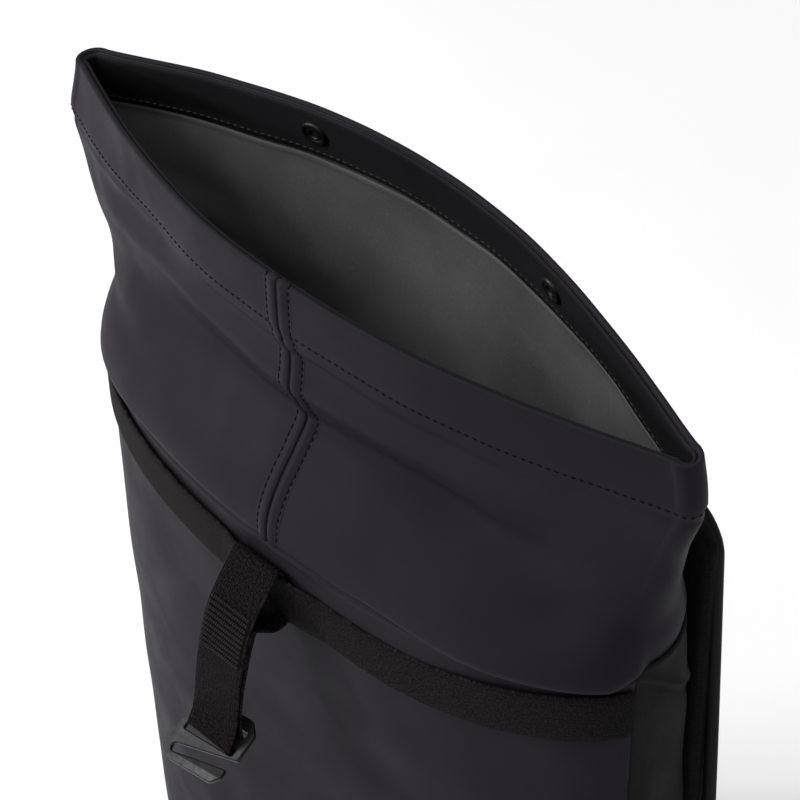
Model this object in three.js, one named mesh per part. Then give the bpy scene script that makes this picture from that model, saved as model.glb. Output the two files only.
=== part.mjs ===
// A rolltop backpack, standing open on its base: a coated front panel wrapped round a slim body, side
// gussets, a padded back panel with two shoulder straps, and a soft tube above the body. The tube's hemmed
// mouth is rolled down in use and held by the flat metal hook on the front strap.
// Millimetres, +Z up. The front faces -Y and the padded back faces +Y.

import * as THREE from "three";

// Body
const creaseHeight = 388; // where the soft tube rises out of the body
const bodyHalfWidth = 156;
const bodyFrontDepth = 64; // from the body's mid plane to its front
const bodyBackDepth = 35; // from the mid plane to the flat back
const bodyCorner = 35; // how far the body's rear corners round in from the sides
const frontFullness = 2.1; // 2 would make the front half an ellipse, and more makes it squarer
const panelWall = 2;
const sewnGap = 0.3; // between two sewn pieces
const seamShare = 0.982; // of the half width, where the front panel meets each gusset
const gussetReach = 0.62; // of the half width, how far each gusset runs in behind the bag
const baseTurnUp = 22;
const baseWall = 3;
const baseCorner = 10; // radius of the edge that the bag stands on

// Tube and mouth
const mouthHalfWidth = 172.5;
const mouthFrontDepth = 51;
const mouthBackDepth = 38;
const mouthEndRadius = 7;
const mouthLean = 7; // how far forward the mouth stands of the body's mid plane
const mouthFrontFullness = 1.05; // 1 would make half of the mouth a parabola, and more makes it slimmer
const mouthBackFullness = 1.2;
const cornerRise = 123; // from the crease to the mouth's two corners
const frontRimRise = 13; // how much higher the front rim is at its middle
const backRimRise = 17;
const tubeWall = 2;
const tuckDepth = 14; // how far the tube reaches down inside the body
const foldHeight = 8; // of the fold in which the tube's foot turns over the body's edge
const foldProud = 1.4; // how far that fold stands out of the body's front
const sagProud = 6.2; // and where it sags over the body
const hemHeight = 28;
const hemProud = 0.5;
const hemStep = 1; // height over which the hem stands out
const facingWall = 1.6;
const liningWall = 1;

// Centre front seam
const seamWidth = 13;
const seamThick = 0.8;
const seamRidge = 1.2; // how much higher its middle stands

// Webbing, hook and snaps
const webbingWidth = 25;
const webbingThick = 1.5;
const webbingGap = 0.5;
const bandDrop = 9; // from the crease to the band's two upper corners
const bandSag = 7; // how much lower its middle hangs
const strapMiddle = -4; // x of the hook strap
const strapLength = 90; // from the band's top edge to the end of its loop round the hook's bar
const strapOut = 31.5; // how many degrees it hangs away from upright
const strapTurn = 8; // length over which it leaves the band's slope for that lean
const hookWidth = 34;
const hookThick = 2.5;
const hookTilt = 26; // degrees that the plate points below level
const hookRear = 5.5; // the plate behind its rear slot
const hookSlot = 3.5; // width of each of the strap's two slots
const hookBar = 5; // the bar between them
const hookReach = 20.5; // from the middle of that bar to the plate's tip
const hookChamfer = 5;
const hookMouth = 4; // width of the open slot
const hookMouthFar = 13; // from the bar to the open slot's closed end
const hookMouthNear = 7.8; // and to its open end
const hookWeb = 3.2; // beside the open slot's closed end
const hookEase = 1; // small chamfers on the open slot's edges
const slotEase = 1; // room in a slot at each edge of the webbing
const snapSpread = 67;
const snapRadius = 6.2;
const snapHole = 2;
const snapThick = 1.8;
const snapDrop = 14; // below the rim
const snapLip = 1; // slope of its rims
const studRise = 1.4; // of the stud's tip above its foot

// Padded back, shoulder straps and handle
const padThick = 9;
const padHalfWidth = 147; // at its top
const padFlare = 6; // how much wider each side is at its foot
const padTopRise = 45; // above the crease
const padFoot = 0; // above the ground
const padCorner = 26;
const padRound = 3; // of its front and rear edges
const shoulderWidth = 56;
const shoulderThick = 8;
const shoulderEdge = 4; // over which its edges thin
const shoulderOut = 44; // how far the straps stand behind the pad
const shoulderSpread = 50; // x of their upper ends
const handleSpread = 46;
const handleOut = 26;
const handleDrop = 17; // from the pad's top to its middle
const handleOpen = 0.72; // share of its length between its two sewn ends
const handleFullness = 0.7; // 1 would make it a cosine, and less makes it rounder
const adjusterWidth = 36;
const adjusterHeight = 26;
const adjusterThick = 4;
const adjusterSlot = 5;
const adjusterChamfer = 3;
const tabWidth = 34;
const tabHeight = 40;
const tabThick = 3;
const tabRise = 6; // above the pad's lower corner
const tabInset = 6; // from the pad's side
const webbingLift = 8; // above the tab, where the webbing bends

// Resolution
const aroundCount = 56;
const panelCount = 32;
const gussetCount = 12;
const bandCount = 48;
const strapCount = 16;
const snapCount = 20;

// Sections of the body from its base to the crease. rise: of creaseHeight; width: of bodyHalfWidth;
// front: of bodyFrontDepth; corner: of bodyCorner
const bodySections = [
  { rise: 0.0, width: 0.86, front: 0.7, corner: 0.9 },
  { rise: 0.2, width: 0.9, front: 0.73, corner: 0.7 },
  { rise: 0.45, width: 0.95, front: 0.77, corner: 0.5 },
  { rise: 0.7, width: 0.985, front: 0.83, corner: 0.45 },
  { rise: 0.88, width: 0.995, front: 0.93, corner: 0.7 },
  { rise: 1.0, width: 1.0, front: 1.0, corner: 1.0 },
];

// Sections of the tube from the crease to the rim. rise: of its height; width: of the half width, which
// goes from the body's to the mouth's; front and back: of the depths, which do the same; lens: how far
// that change is
const tubeSections = [
  { rise: 0.0, width: 1.0, front: 1.0, back: 1.0, lens: 0.0 },
  { rise: 0.08, width: 0.99, front: 0.98, back: 1.0, lens: 0.05 },
  { rise: 0.22, width: 0.98, front: 0.88, back: 1.0, lens: 0.22 },
  { rise: 0.36, width: 0.98, front: 0.76, back: 1.0, lens: 0.45 },
  { rise: 0.5, width: 0.985, front: 0.72, back: 1.05, lens: 0.65 },
  { rise: 0.64, width: 1.0, front: 0.83, back: 1.12, lens: 0.82 },
  { rise: 0.77, width: 1.02, front: 0.98, back: 1.15, lens: 0.93 },
  { rise: 1.0, width: 1.0, front: 1.0, back: 1.0, lens: 1.0 },
];

// The fold at the tube's foot, from inside the body upwards. behind: of tuckInset in from the body's skin;
// front: of foldProud out from it; sagged: of sagProud; up and sagUp: of foldHeight above the crease
const tuckInset = panelWall + sewnGap;
const footFold = [
  { behind: 0.87, front: 0.36, sagged: 0.35, up: 0.1, sagUp: 0.1 },
  { behind: 0.78, front: 0.86, sagged: 0.8, up: 0.25, sagUp: -0.38 },
  { behind: 0.61, front: 1.0, sagged: 1.0, up: 0.5, sagUp: 0.12 },
  { behind: 0.35, front: 0.7, sagged: 0.73, up: 1.0, sagUp: 0.88 },
];

// A shoulder strap's middle line. drop: of the pad's height from its top; side: of its half width from the
// strap's upper end outwards; out: of shoulderOut behind the pad; width: of shoulderWidth
const shoulderLine = [
  { drop: 0.085, side: 0.0, out: 0.0, width: 0.8 },
  { drop: 0.12, side: 0.0, out: 0.08, width: 0.85 },
  { drop: 0.22, side: 0.04, out: 0.55, width: 1.0 },
  { drop: 0.38, side: 0.14, out: 0.95, width: 1.0 },
  { drop: 0.52, side: 0.24, out: 0.95, width: 0.95 },
  { drop: 0.64, side: 0.3, out: 0.6, width: 0.8 },
  { drop: 0.7, side: 0.31, out: 0.4, width: 0.62 },
];

const mm = (x, y, z) => new THREE.Vector3(x, y, z);
const { lerp, clamp, smoothstep, degToRad } = THREE.MathUtils;

// The row of a table at any value of its key, in straight steps between the rows
function rowAt(table, key, value) {
  const found = table.findIndex((row) => row[key] >= value);
  const upper = clamp(found < 0 ? table.length - 1 : found, 1, table.length - 1);
  const low = table[upper - 1];
  const high = table[upper];
  const t = clamp((value - low[key]) / (high[key] - low[key]), 0, 1);
  return Object.fromEntries(Object.keys(low).map((name) => [name, lerp(low[name], high[name], t)]));
}

// Loop positions run from 0 at the left end through 0.25 at the front's middle and 0.5 at the right end
const shareAt = (k) => -Math.cos(2 * Math.PI * k);
const positionAt = (share) => Math.acos(-share) / (2 * Math.PI); // on the front
const isFront = (k) => k - Math.floor(k) < 0.5;

function roundedFront(s) {
  return Math.pow(Math.max(0, 1 - Math.pow(Math.abs(s), frontFullness)), 1 / frontFullness);
}

function flatBack(s, halfWidth, corner) {
  const past = (Math.abs(s) * halfWidth - (halfWidth - corner)) / corner;
  return past <= 0 ? 1 : Math.sqrt(Math.max(0, 1 - past * past));
}

// Half of the mouth's lens as a share of its depth. It ends in a small round loop
function lensShare(s, halfWidth, depth, fullness) {
  const flank = halfWidth - mouthEndRadius;
  const x = Math.abs(s) * halfWidth;
  if (x > flank) return Math.sqrt(Math.max(0, mouthEndRadius ** 2 - (x - flank) ** 2)) / depth;
  const lens = Math.pow(1 - (x / flank) ** 2, fullness);
  return lerp(mouthEndRadius / depth, 1, lens);
}

// The body's skin seen from above, at a rise of 0 at the ground to 1 at the crease
function bodyOutline(k, rise) {
  const row = rowAt(bodySections, "rise", rise);
  const s = shareAt(k);
  const halfWidth = bodyHalfWidth * row.width;
  const y = isFront(k)
    ? -bodyFrontDepth * row.front * roundedFront(s)
    : bodyBackDepth * flatBack(s, halfWidth, bodyCorner * row.corner);
  return new THREE.Vector2(s * halfWidth, y);
}

// The tube's skin seen from above, at a rise of 0 at the crease to 1 at the rim
function tubeOutline(k, rise) {
  const row = rowAt(tubeSections, "rise", rise);
  const s = shareAt(k);
  const halfWidth = lerp(bodyHalfWidth, mouthHalfWidth, row.lens) * row.width;
  const front = isFront(k);
  const from = front ? bodyFrontDepth : bodyBackDepth;
  const to = front ? mouthFrontDepth : mouthBackDepth;
  const depth = lerp(from, to, row.lens) * (front ? row.front : row.back);
  const round = front ? roundedFront(s) : flatBack(s, halfWidth, bodyCorner);
  const fullness = front ? mouthFrontFullness : mouthBackFullness;
  const shape = lerp(round, lensShare(s, halfWidth, depth, fullness), row.lens);
  return new THREE.Vector2(s * halfWidth, (front ? -1 : 1) * depth * shape - mouthLean * rise);
}

// A point of an outline moved outwards along the outline's normal
function offsetPoint(outline, k, rise, out, z) {
  const step = 2e-3;
  const here = outline(k, rise);
  const along = outline(k + step, rise).sub(outline(k - step, rise)).normalize();
  return mm(here.x + along.y * out, here.y - along.x * out, z);
}

const rimHeight = (k) =>
  cornerRise + (isFront(k) ? frontRimRise : backRimRise) * (1 - shareAt(k) ** 2);
const riseBelowRim = (k, drop) => 1 - drop / rimHeight(k);
const bodyPoint = (k, z, out) => offsetPoint(bodyOutline, k, Math.min(1, z / creaseHeight), out, z);
const tubePoint = (k, rise, out) =>
  offsetPoint(tubeOutline, k, rise, out, creaseHeight + rimHeight(k) * rise);

// Solid lofted through closed rings of equally many points. Unless the rings close on themselves, the
// first and the last are capped across, from each point of one half to its partner in the other
function loft(rings, closed) {
  const count = rings[0].length;
  const positions = rings.flat().flatMap((p) => [p.x, p.y, p.z]);
  const index = [];
  const quad = (a, b, c, d) => index.push(a, b, c, a, c, d);
  const last = closed ? rings.length : rings.length - 1;
  for (let j = 0; j < last; j++) {
    const here = j * count;
    const next = ((j + 1) % rings.length) * count;
    for (let i = 0; i < count; i++) {
      const n = (i + 1) % count;
      quad(here + i, here + n, next + n, next + i);
    }
  }
  if (!closed) {
    const end = (rings.length - 1) * count;
    for (let i = 0; i < count / 2 - 1; i++) {
      const far = count - 1 - i;
      quad(i + 1, i, far, far - 1);
      quad(end + i, end + i + 1, end + far - 1, end + far);
    }
  }
  return facingOut(positions, index);
}

// Geometry whose faces point out, whichever way round its rings were listed
function facingOut(positions, index) {
  const at = (i) => mm(positions[3 * i], positions[3 * i + 1], positions[3 * i + 2]);
  let volume = 0;
  for (let t = 0; t < index.length; t += 3)
    volume += at(index[t]).dot(at(index[t + 1]).cross(at(index[t + 2])));
  const geometry = new THREE.BufferGeometry();
  geometry.setAttribute("position", new THREE.Float32BufferAttribute(positions, 3));
  geometry.setIndex(volume > 0 ? index : [...index].reverse());
  geometry.computeVertexNormals();
  return geometry;
}

const range = (count, make) => Array.from({ length: count }, (_, i) => make(i));
const loopPositions = range(aroundCount, (i) => i / aroundCount);
const between = (from, to, count) => range(count + 1, (i) => lerp(from, to, i / count));

const bag = new THREE.Group();

function addPiece(name, geometry, finish) {
  const mesh = new THREE.Mesh(geometry, new THREE.MeshStandardMaterial(finish));
  mesh.name = name;
  bag.add(mesh);
  return mesh;
}

const coated = { color: 0x26242a, roughness: 0.55, metalness: 0 };
const darkCloth = { color: 0x16130f, roughness: 0.8, metalness: 0 };
const greyCloth = { color: 0x3c3b3d, roughness: 0.85, metalness: 0 };
const padCloth = { color: 0x121113, roughness: 0.9, metalness: 0 };
const webCloth = { color: 0x1b1714, roughness: 0.85, metalness: 0 };
const darkMetal = { color: 0x3a3b3e, roughness: 0.4, metalness: 0.9 };
const darkPlastic = { color: 0x17171a, roughness: 0.6, metalness: 0 };

// Body panels: strips whose rings are upright cuts through the cloth
function panelStrip(positions) {
  const heights = [
    baseTurnUp + sewnGap,
    ...bodySections.slice(1, -1).map((row) => row.rise * creaseHeight),
    creaseHeight,
  ];
  const rings = positions.map((k) => [
    ...heights.map((z) => bodyPoint(k, z, 0)),
    ...heights.toReversed().map((z) => bodyPoint(k, z, -panelWall)),
  ]);
  return loft(rings, false);
}

const seamAt = positionAt(-seamShare);
const gussetEndAt = positionAt(-gussetReach);
const seamGap = sewnGap / (2 * Math.PI * bodyHalfWidth * Math.sqrt(1 - seamShare ** 2));

function buildBody() {
  addPiece("front_panel", panelStrip(between(seamAt, 0.5 - seamAt, panelCount)), coated);
  const around = between(-gussetEndAt, seamAt - seamGap, gussetCount);
  addPiece("side_gusset_left", panelStrip(around), darkCloth);
  addPiece("side_gusset_right", panelStrip(around.map((k) => 0.5 - k)), darkCloth);
}

// Base: a shallow tray whose edge turns up into the panels
function buildBase() {
  const outer = [0, 0.25, 0.5, 0.75, 1].map((t) => {
    const angle = (t * Math.PI) / 2;
    return { inset: baseCorner * (1 - Math.sin(angle)), z: baseCorner * (1 - Math.cos(angle)) };
  });
  const scale = (baseCorner - baseWall) / baseCorner;
  const inwards = (length) => baseCorner - (baseCorner - length) * scale;
  const inner = outer.map(({ inset, z }) => ({ inset: inwards(inset), z: inwards(z) }));
  const rim = [
    { inset: 0, z: baseTurnUp },
    { inset: baseWall, z: baseTurnUp },
  ];
  const profile = [...outer, ...rim, ...inner.toReversed()];
  const rings = profile.map(({ inset, z }) => loopPositions.map((k) => bodyPoint(k, z, -inset)));
  addPiece("base_panel", loft(rings, false), darkCloth);
}

// How much the tube's foot sags over the body: only right of the front's middle, by shares of the half width
function sagAt(k) {
  const s = shareAt(k);
  return isFront(k) ? smoothstep(s, 0.3, 0.7) * (1 - smoothstep(s, 0.93, 0.99)) : 0;
}

// How much it turns over the body's edge: nowhere behind, and all along the front
const frontAt = (k) => (isFront(k) ? smoothstep(1 - Math.abs(shareAt(k)), 0, 0.02) : 0);

function foldPoint(k, row) {
  const sag = sagAt(k);
  const turned = lerp(-row.behind * tuckInset, row.front * foldProud, frontAt(k));
  const out = lerp(turned, row.sagged * sagProud, sag);
  return bodyPoint(k, creaseHeight + foldHeight * lerp(row.up, row.sagUp, sag), out);
}

const softRows = tubeSections.filter((row) => row.rise > 0.1 && row.rise < 0.7); // between fold and hem
const tuckPoint = (k, up, inset) => bodyPoint(k, creaseHeight + up, -inset);

function buildTube() {
  const clearOfEdge = 2 * sewnGap;
  const outer = [
    (k) => tuckPoint(k, -tuckDepth, tuckInset),
    (k) => tuckPoint(k, clearOfEdge, tuckInset),
    ...footFold.map((row) => (k) => foldPoint(k, row)),
    ...softRows.map((row) => (k) => tubePoint(k, row.rise, 0)),
    (k) => tubePoint(k, riseBelowRim(k, hemHeight), 0),
    (k) => tubePoint(k, riseBelowRim(k, hemHeight - hemStep), hemProud),
    (k) => tubePoint(k, riseBelowRim(k, hemHeight / 2), hemProud),
    (k) => tubePoint(k, riseBelowRim(k, tubeWall / 2), hemProud),
    (k) => tubePoint(k, 1, (hemProud - tubeWall) / 2),
  ];
  const inner = [
    (k) => tubePoint(k, riseBelowRim(k, tubeWall / 2), -tubeWall),
    (k) => tubePoint(k, riseBelowRim(k, hemHeight / 2), -tubeWall),
    (k) => tubePoint(k, riseBelowRim(k, hemHeight), -tubeWall),
    ...softRows.toReversed().map((row) => (k) => tubePoint(k, row.rise, -tubeWall)),
    (k) => tuckPoint(k, foldHeight / 4, tuckInset + tubeWall),
    (k) => tuckPoint(k, -tuckDepth, tuckInset + tubeWall),
  ];
  const rings = [...outer, ...inner].map((point) => loopPositions.map(point));
  addPiece("rolltop_tube", loft(rings, true), coated);
}

// A ring of cloth lying inside the tube. Its heights, as functions of the loop position, run downwards, so
// that its triangles lie along those of the tube's inner skin
function innerRing(heights, thickness) {
  const near = tubeWall + sewnGap;
  const ringAt = (rise, inset) => loopPositions.map((k) => tubePoint(k, rise(k), -inset));
  const outer = heights.map((rise) => ringAt(rise, near));
  const inner = heights.toReversed().map((rise) => ringAt(rise, near + thickness));
  return loft([...outer, ...inner], true);
}

function buildMouth() {
  const facing = [hemStep, hemHeight / 2, hemHeight].map((drop) => (k) => riseBelowRim(k, drop));
  addPiece("mouth_facing", innerRing(facing, facingWall), darkCloth);
  const lining = [
    (k) => riseBelowRim(k, hemHeight + sewnGap),
    ...softRows.toReversed().map((row) => () => row.rise),
  ];
  addPiece("lining", innerRing(lining, liningWall), greyCloth);
}

// Solid cut from a flat outline, from its start along +Z
function plate(shape, thickness) {
  return new THREE.ExtrudeGeometry(shape, { depth: thickness, bevelEnabled: false, curveSegments: 5 });
}

function polygon(points) {
  return new THREE.Shape(points.map(([x, y]) => new THREE.Vector2(x, y)));
}

// A slot for webbing across a plate, between two heights
function webbingSlot(low, high) {
  const half = webbingWidth / 2 + slotEase;
  const corners = [[-half, low], [half, low], [half, high], [-half, high]];
  return new THREE.Path(corners.map(([x, y]) => new THREE.Vector2(x, y)));
}

// Turns a plate so that its outline's x and y lie along two directions of the bag
function turnTo(mesh, x, y) {
  mesh.quaternion.setFromRotationMatrix(new THREE.Matrix4().makeBasis(x, y, x.clone().cross(y)));
}

// The cloth strip that covers the centre seam, with its raised ridge
function buildFrontSeam() {
  const middle = positionAt(0);
  const toSide = seamWidth / (2 * Math.PI * bodyHalfWidth);
  const across = [-0.5, -0.15, 0, 0.15, 0.5];
  const ridge = [0, 0.5, 1, 0.5, 0];
  const foot = footFold.at(-1);
  const overHem = [hemHeight, hemHeight - hemStep, tubeWall].map((drop) => riseBelowRim(middle, drop));
  const rows = [
    (k, out) => bodyPoint(k, creaseHeight + foot.up * foldHeight, foot.front * foldProud + out),
    ...softRows.map((row) => (k, out) => tubePoint(k, row.rise, out)),
    ...overHem.map((rise, i) => (k, out) => tubePoint(k, rise, out + (i > 0 ? hemProud : 0))),
  ];
  const rings = rows.map((row) => {
    const at = (i, out) => row(middle + across[i] * toSide, out);
    return [
      ...across.map((_, i) => at(i, sewnGap)),
      ...across.map((_, i) => at(4 - i, sewnGap + seamThick + seamRidge * ridge[i])),
    ];
  });
  addPiece("front_seam", loft(rings, false), coated);
}

// Webbing band round the front, from gusset to gusset. It stands off where the hook strap passes behind
// it, and comes back to the cloth over the tenth of the body's width beside that
const strapRoom = webbingThick + 2 * webbingGap;
const bandTop = (k) => creaseHeight - bandDrop - bandSag * (1 - shareAt(k) ** 2);

function bandOut(k) {
  const away = Math.abs(shareAt(k) - strapMiddle / bodyHalfWidth) - webbingWidth / 2 / bodyHalfWidth;
  return lerp(strapRoom, webbingGap, smoothstep(away, 0.02, 0.11));
}

function buildBand() {
  const rings = between(seamAt, 0.5 - seamAt, bandCount).map((k) => {
    const near = bandOut(k);
    const top = bandTop(k);
    return [
      bodyPoint(k, top, near),
      bodyPoint(k, top, near + webbingThick),
      bodyPoint(k, top - webbingWidth, near + webbingThick),
      bodyPoint(k, top - webbingWidth, near),
    ];
  });
  addPiece("front_band", loft(rings, false), webCloth);
}

// Hook strap: webbing looped round the band, sewn to itself below it, and looped through the hook.
// Its outline is drawn in the plane across the bag, with v down the strap and u out from its middle
const strapAt = positionAt(strapMiddle / bodyHalfWidth);
const strapTop = bodyPoint(strapAt, bandTop(strapAt), strapRoom + webbingThick / 2);
const strapUnderBand = bodyPoint(strapAt, bandTop(strapAt) - webbingWidth, strapRoom + webbingThick / 2);
const loopHalf = webbingThick / 2 + webbingGap; // half the room in the loop round the band
const barRoom = Math.hypot(hookBar, hookThick) / 2 + webbingGap; // radius of the loop round the hook's bar

// The strap's middle line, in the plane across the bag: along the band, then leaning outwards down to the
// hook. A point lies `down` along it and `out` in front of it
function strapPoint(down, out) {
  const start = new THREE.Vector2(strapTop.y, strapTop.z);
  const under = new THREE.Vector2(strapUnderBand.y, strapUnderBand.z);
  const along = under.clone().sub(start).normalize();
  const leaning = new THREE.Vector2(-Math.sin(degToRad(strapOut)), -Math.cos(degToRad(strapOut)));
  const straight = webbingWidth + webbingGap;
  const turned = clamp((down - straight) / strapTurn, 0, 1);
  const here = along.clone().lerp(leaning, turned).normalize();
  const point = start.addScaledVector(along, Math.min(down, straight));
  point.addScaledVector(here, Math.max(0, down - straight));
  return point.add(new THREE.Vector2(here.y, -here.x).multiplyScalar(out));
}

function strapOutline(halves) {
  const front = halves.map(({ down, half }) => strapPoint(down, half));
  const rear = halves.map(({ down, half }) => strapPoint(down, -half)).reverse();
  return [...front, ...rear];
}

function buildHookStrap() {
  const neck = webbingWidth + strapTurn;
  const bar = strapLength - barRoom;
  const turn = between(0.06, 0.94, 8).map((t) => t * Math.PI);
  const roundBar = (radius) =>
    turn.map((t) => ({ down: bar - radius * Math.cos(t), half: radius * Math.sin(t) }));
  const bandRoom = [
    { down: -webbingGap, half: loopHalf * 0.8 },
    { down: 0, half: loopHalf },
    { down: webbingWidth, half: loopHalf },
    { down: webbingWidth + 2 * webbingThick, half: loopHalf / 3 },
  ];
  const skin = [
    { down: -webbingGap - webbingThick, half: loopHalf * 0.8 },
    { down: 0, half: loopHalf + webbingThick },
    { down: webbingWidth, half: loopHalf + webbingThick },
    { down: neck, half: webbingThick },
    { down: (neck + bar) / 2, half: webbingThick },
    { down: bar - 2 * barRoom - webbingThick, half: webbingThick },
    ...roundBar(barRoom + webbingThick).slice(1),
  ];
  const shape = new THREE.Shape(strapOutline(skin));
  const rooms = [bandRoom, roundBar(barRoom)];
  shape.holes = rooms.map((room) => new THREE.Path(strapOutline(room)));
  const strap = addPiece("hook_strap", plate(shape, webbingWidth), webCloth);
  turnTo(strap, mm(0, 1, 0), mm(0, 0, 1));
  strap.position.x = strapMiddle - webbingWidth / 2;
}

// Hook: a flat plate with two closed slots for the strap, which goes round the bar between them, and a
// slanted open slot that hooks on to the rolled mouth. Its outline has x along the bag and y from the bar
// to the tip
function buildHook() {
  const half = hookWidth / 2;
  const rear = -hookBar / 2 - hookSlot - hookRear;
  const closed = -half + hookWeb;
  const slant = (hookMouthNear - hookMouthFar) / (half - closed);
  const near = (x) => hookMouthFar + slant * (x - closed); // the open slot's edge nearer the bar
  const far = (x) => near(x) + hookMouth;
  const shape = polygon([
    [-half + hookChamfer, rear],
    [half - hookChamfer, rear],
    [half, rear + hookChamfer],
    [half, near(half) - hookEase],
    [half - hookEase, near(half - hookEase)],
    [closed + hookEase, near(closed + hookEase)],
    [closed, near(closed) + hookMouth / 2],
    [closed + hookEase, far(closed + hookEase)],
    [half - 2 * hookEase, far(half - 2 * hookEase)],
    [half - hookEase, hookReach - hookChamfer],
    [half - hookChamfer, hookReach],
    [-half + hookChamfer, hookReach],
    [-half, hookReach - hookChamfer],
    [-half, rear + hookChamfer],
  ]);
  const barEdge = hookBar / 2;
  const slotAt = (low) => webbingSlot(low, low + hookSlot);
  shape.holes = [slotAt(barEdge), slotAt(-barEdge - hookSlot)];
  const hook = addPiece("hook", plate(shape, hookThick).translate(0, 0, -hookThick / 2), darkMetal);
  const bar = strapPoint(strapLength - barRoom, 0);
  const tilt = degToRad(hookTilt);
  turnTo(hook, mm(1, 0, 0), mm(0, -Math.cos(tilt), -Math.sin(tilt)));
  hook.position.set(strapMiddle, bar.x, bar.y);
}

// Snaps on the facing: a ring on the back, which shows, and a plain stud on the front
function seatOnFacing(mesh, k) {
  const rise = riseBelowRim(k, snapDrop);
  const near = tubeWall + 2 * sewnGap + facingWall;
  const seat = tubePoint(k, rise, -near);
  const inward = tubePoint(k, rise, -near - 1).sub(seat);
  const above = tubePoint(k, rise + 0.05, -near).sub(tubePoint(k, rise - 0.05, -near)).normalize();
  inward.addScaledVector(above, -inward.dot(above)).normalize();
  mesh.quaternion.setFromUnitVectors(mm(0, 1, 0), inward);
  mesh.position.copy(seat);
}

function buildSnaps() {
  const half = snapThick / 2;
  const ring = [
    [snapHole, 0],
    [snapRadius, 0],
    [snapRadius, half],
    [snapRadius - snapLip, snapThick],
    [snapHole + snapLip, snapThick],
    [snapHole, half],
    [snapHole, 0],
  ];
  const stud = [
    [0, 0],
    [snapRadius, 0],
    [snapRadius, half],
    [snapHole, snapThick],
    [snapHole, snapThick + studRise / 2],
    [snapHole / 2, snapThick + studRise],
    [0, snapThick + studRise],
  ];
  const turned = (profile) =>
    new THREE.LatheGeometry(profile.map(([x, y]) => new THREE.Vector2(x, y)), snapCount);
  for (const [side, sign] of [["left", -1], ["right", 1]]) {
    const k = positionAt((sign * snapSpread) / mouthHalfWidth);
    seatOnFacing(addPiece(`snap_${side}`, turned(ring), darkMetal), 1 - k);
    seatOnFacing(addPiece(`snap_stud_${side}`, turned(stud), darkMetal), k);
  }
}

// Padded back panel: a slab with rounded corners and edges, flat against the gussets
const padFront = bodyBackDepth + sewnGap;
const padBack = padFront + padThick;
const padTop = creaseHeight + padTopRise;

function padRing(inset, y) {
  const radius = padCorner - inset;
  const quarter = between(0, Math.PI / 2, 5);
  const arc = (x, z, from) =>
    quarter.map((t) => mm(x + radius * Math.sin(from + t), y, z + radius * Math.cos(from + t)));
  const right = [
    ...arc(padHalfWidth - padCorner, padTop - padCorner, 0),
    ...arc(padHalfWidth + padFlare - padCorner, padFoot + padCorner, Math.PI / 2),
  ];
  const left = right.map((p) => mm(-p.x, p.y, p.z)).reverse();
  return [...right, ...left];
}

function buildBackPanel() {
  const round = [
    { inset: padRound, y: 0 },
    { inset: padRound * 0.3, y: padRound * 0.3 },
    { inset: 0, y: padRound },
  ];
  const rings = [
    ...round.map(({ inset, y }) => padRing(inset, padFront + y)),
    ...round.toReversed().map(({ inset, y }) => padRing(inset, padBack - y)),
  ];
  addPiece("back_panel", loft(rings, false), padCloth);
}

// Flat strap along a line of points, its width across the line and as near as can be along `wide`.
// sectionAt(i) gives the corners of its section at each point, across and out
function ribbon(line, wide, sectionAt) {
  const rings = line.map((point, i) => {
    const before = line[Math.max(i - 1, 0)];
    const after = line[Math.min(i + 1, line.length - 1)];
    const along = after.clone().sub(before).normalize();
    const across = wide.clone().addScaledVector(along, -wide.dot(along)).normalize();
    const out = along.clone().cross(across);
    const corner = ([a, b]) => point.clone().addScaledVector(across, a).addScaledVector(out, b);
    return sectionAt(i).map(corner);
  });
  return loft(rings, false);
}

function webbingAlong(line, wide) {
  const half = webbingWidth / 2;
  const skin = webbingThick / 2;
  return ribbon(line, wide, () => [[-half, skin], [half, skin], [half, -skin], [-half, -skin]]);
}

function paddedStrapAlong(line, wide, widths) {
  const skin = shoulderThick / 2;
  return ribbon(line, wide, (i) => {
    const half = widths[i] / 2;
    const flat = half - shoulderEdge;
    return [[-half, 0], [-flat, skin], [flat, skin], [half, 0], [flat, -skin], [-flat, -skin]];
  });
}

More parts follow.
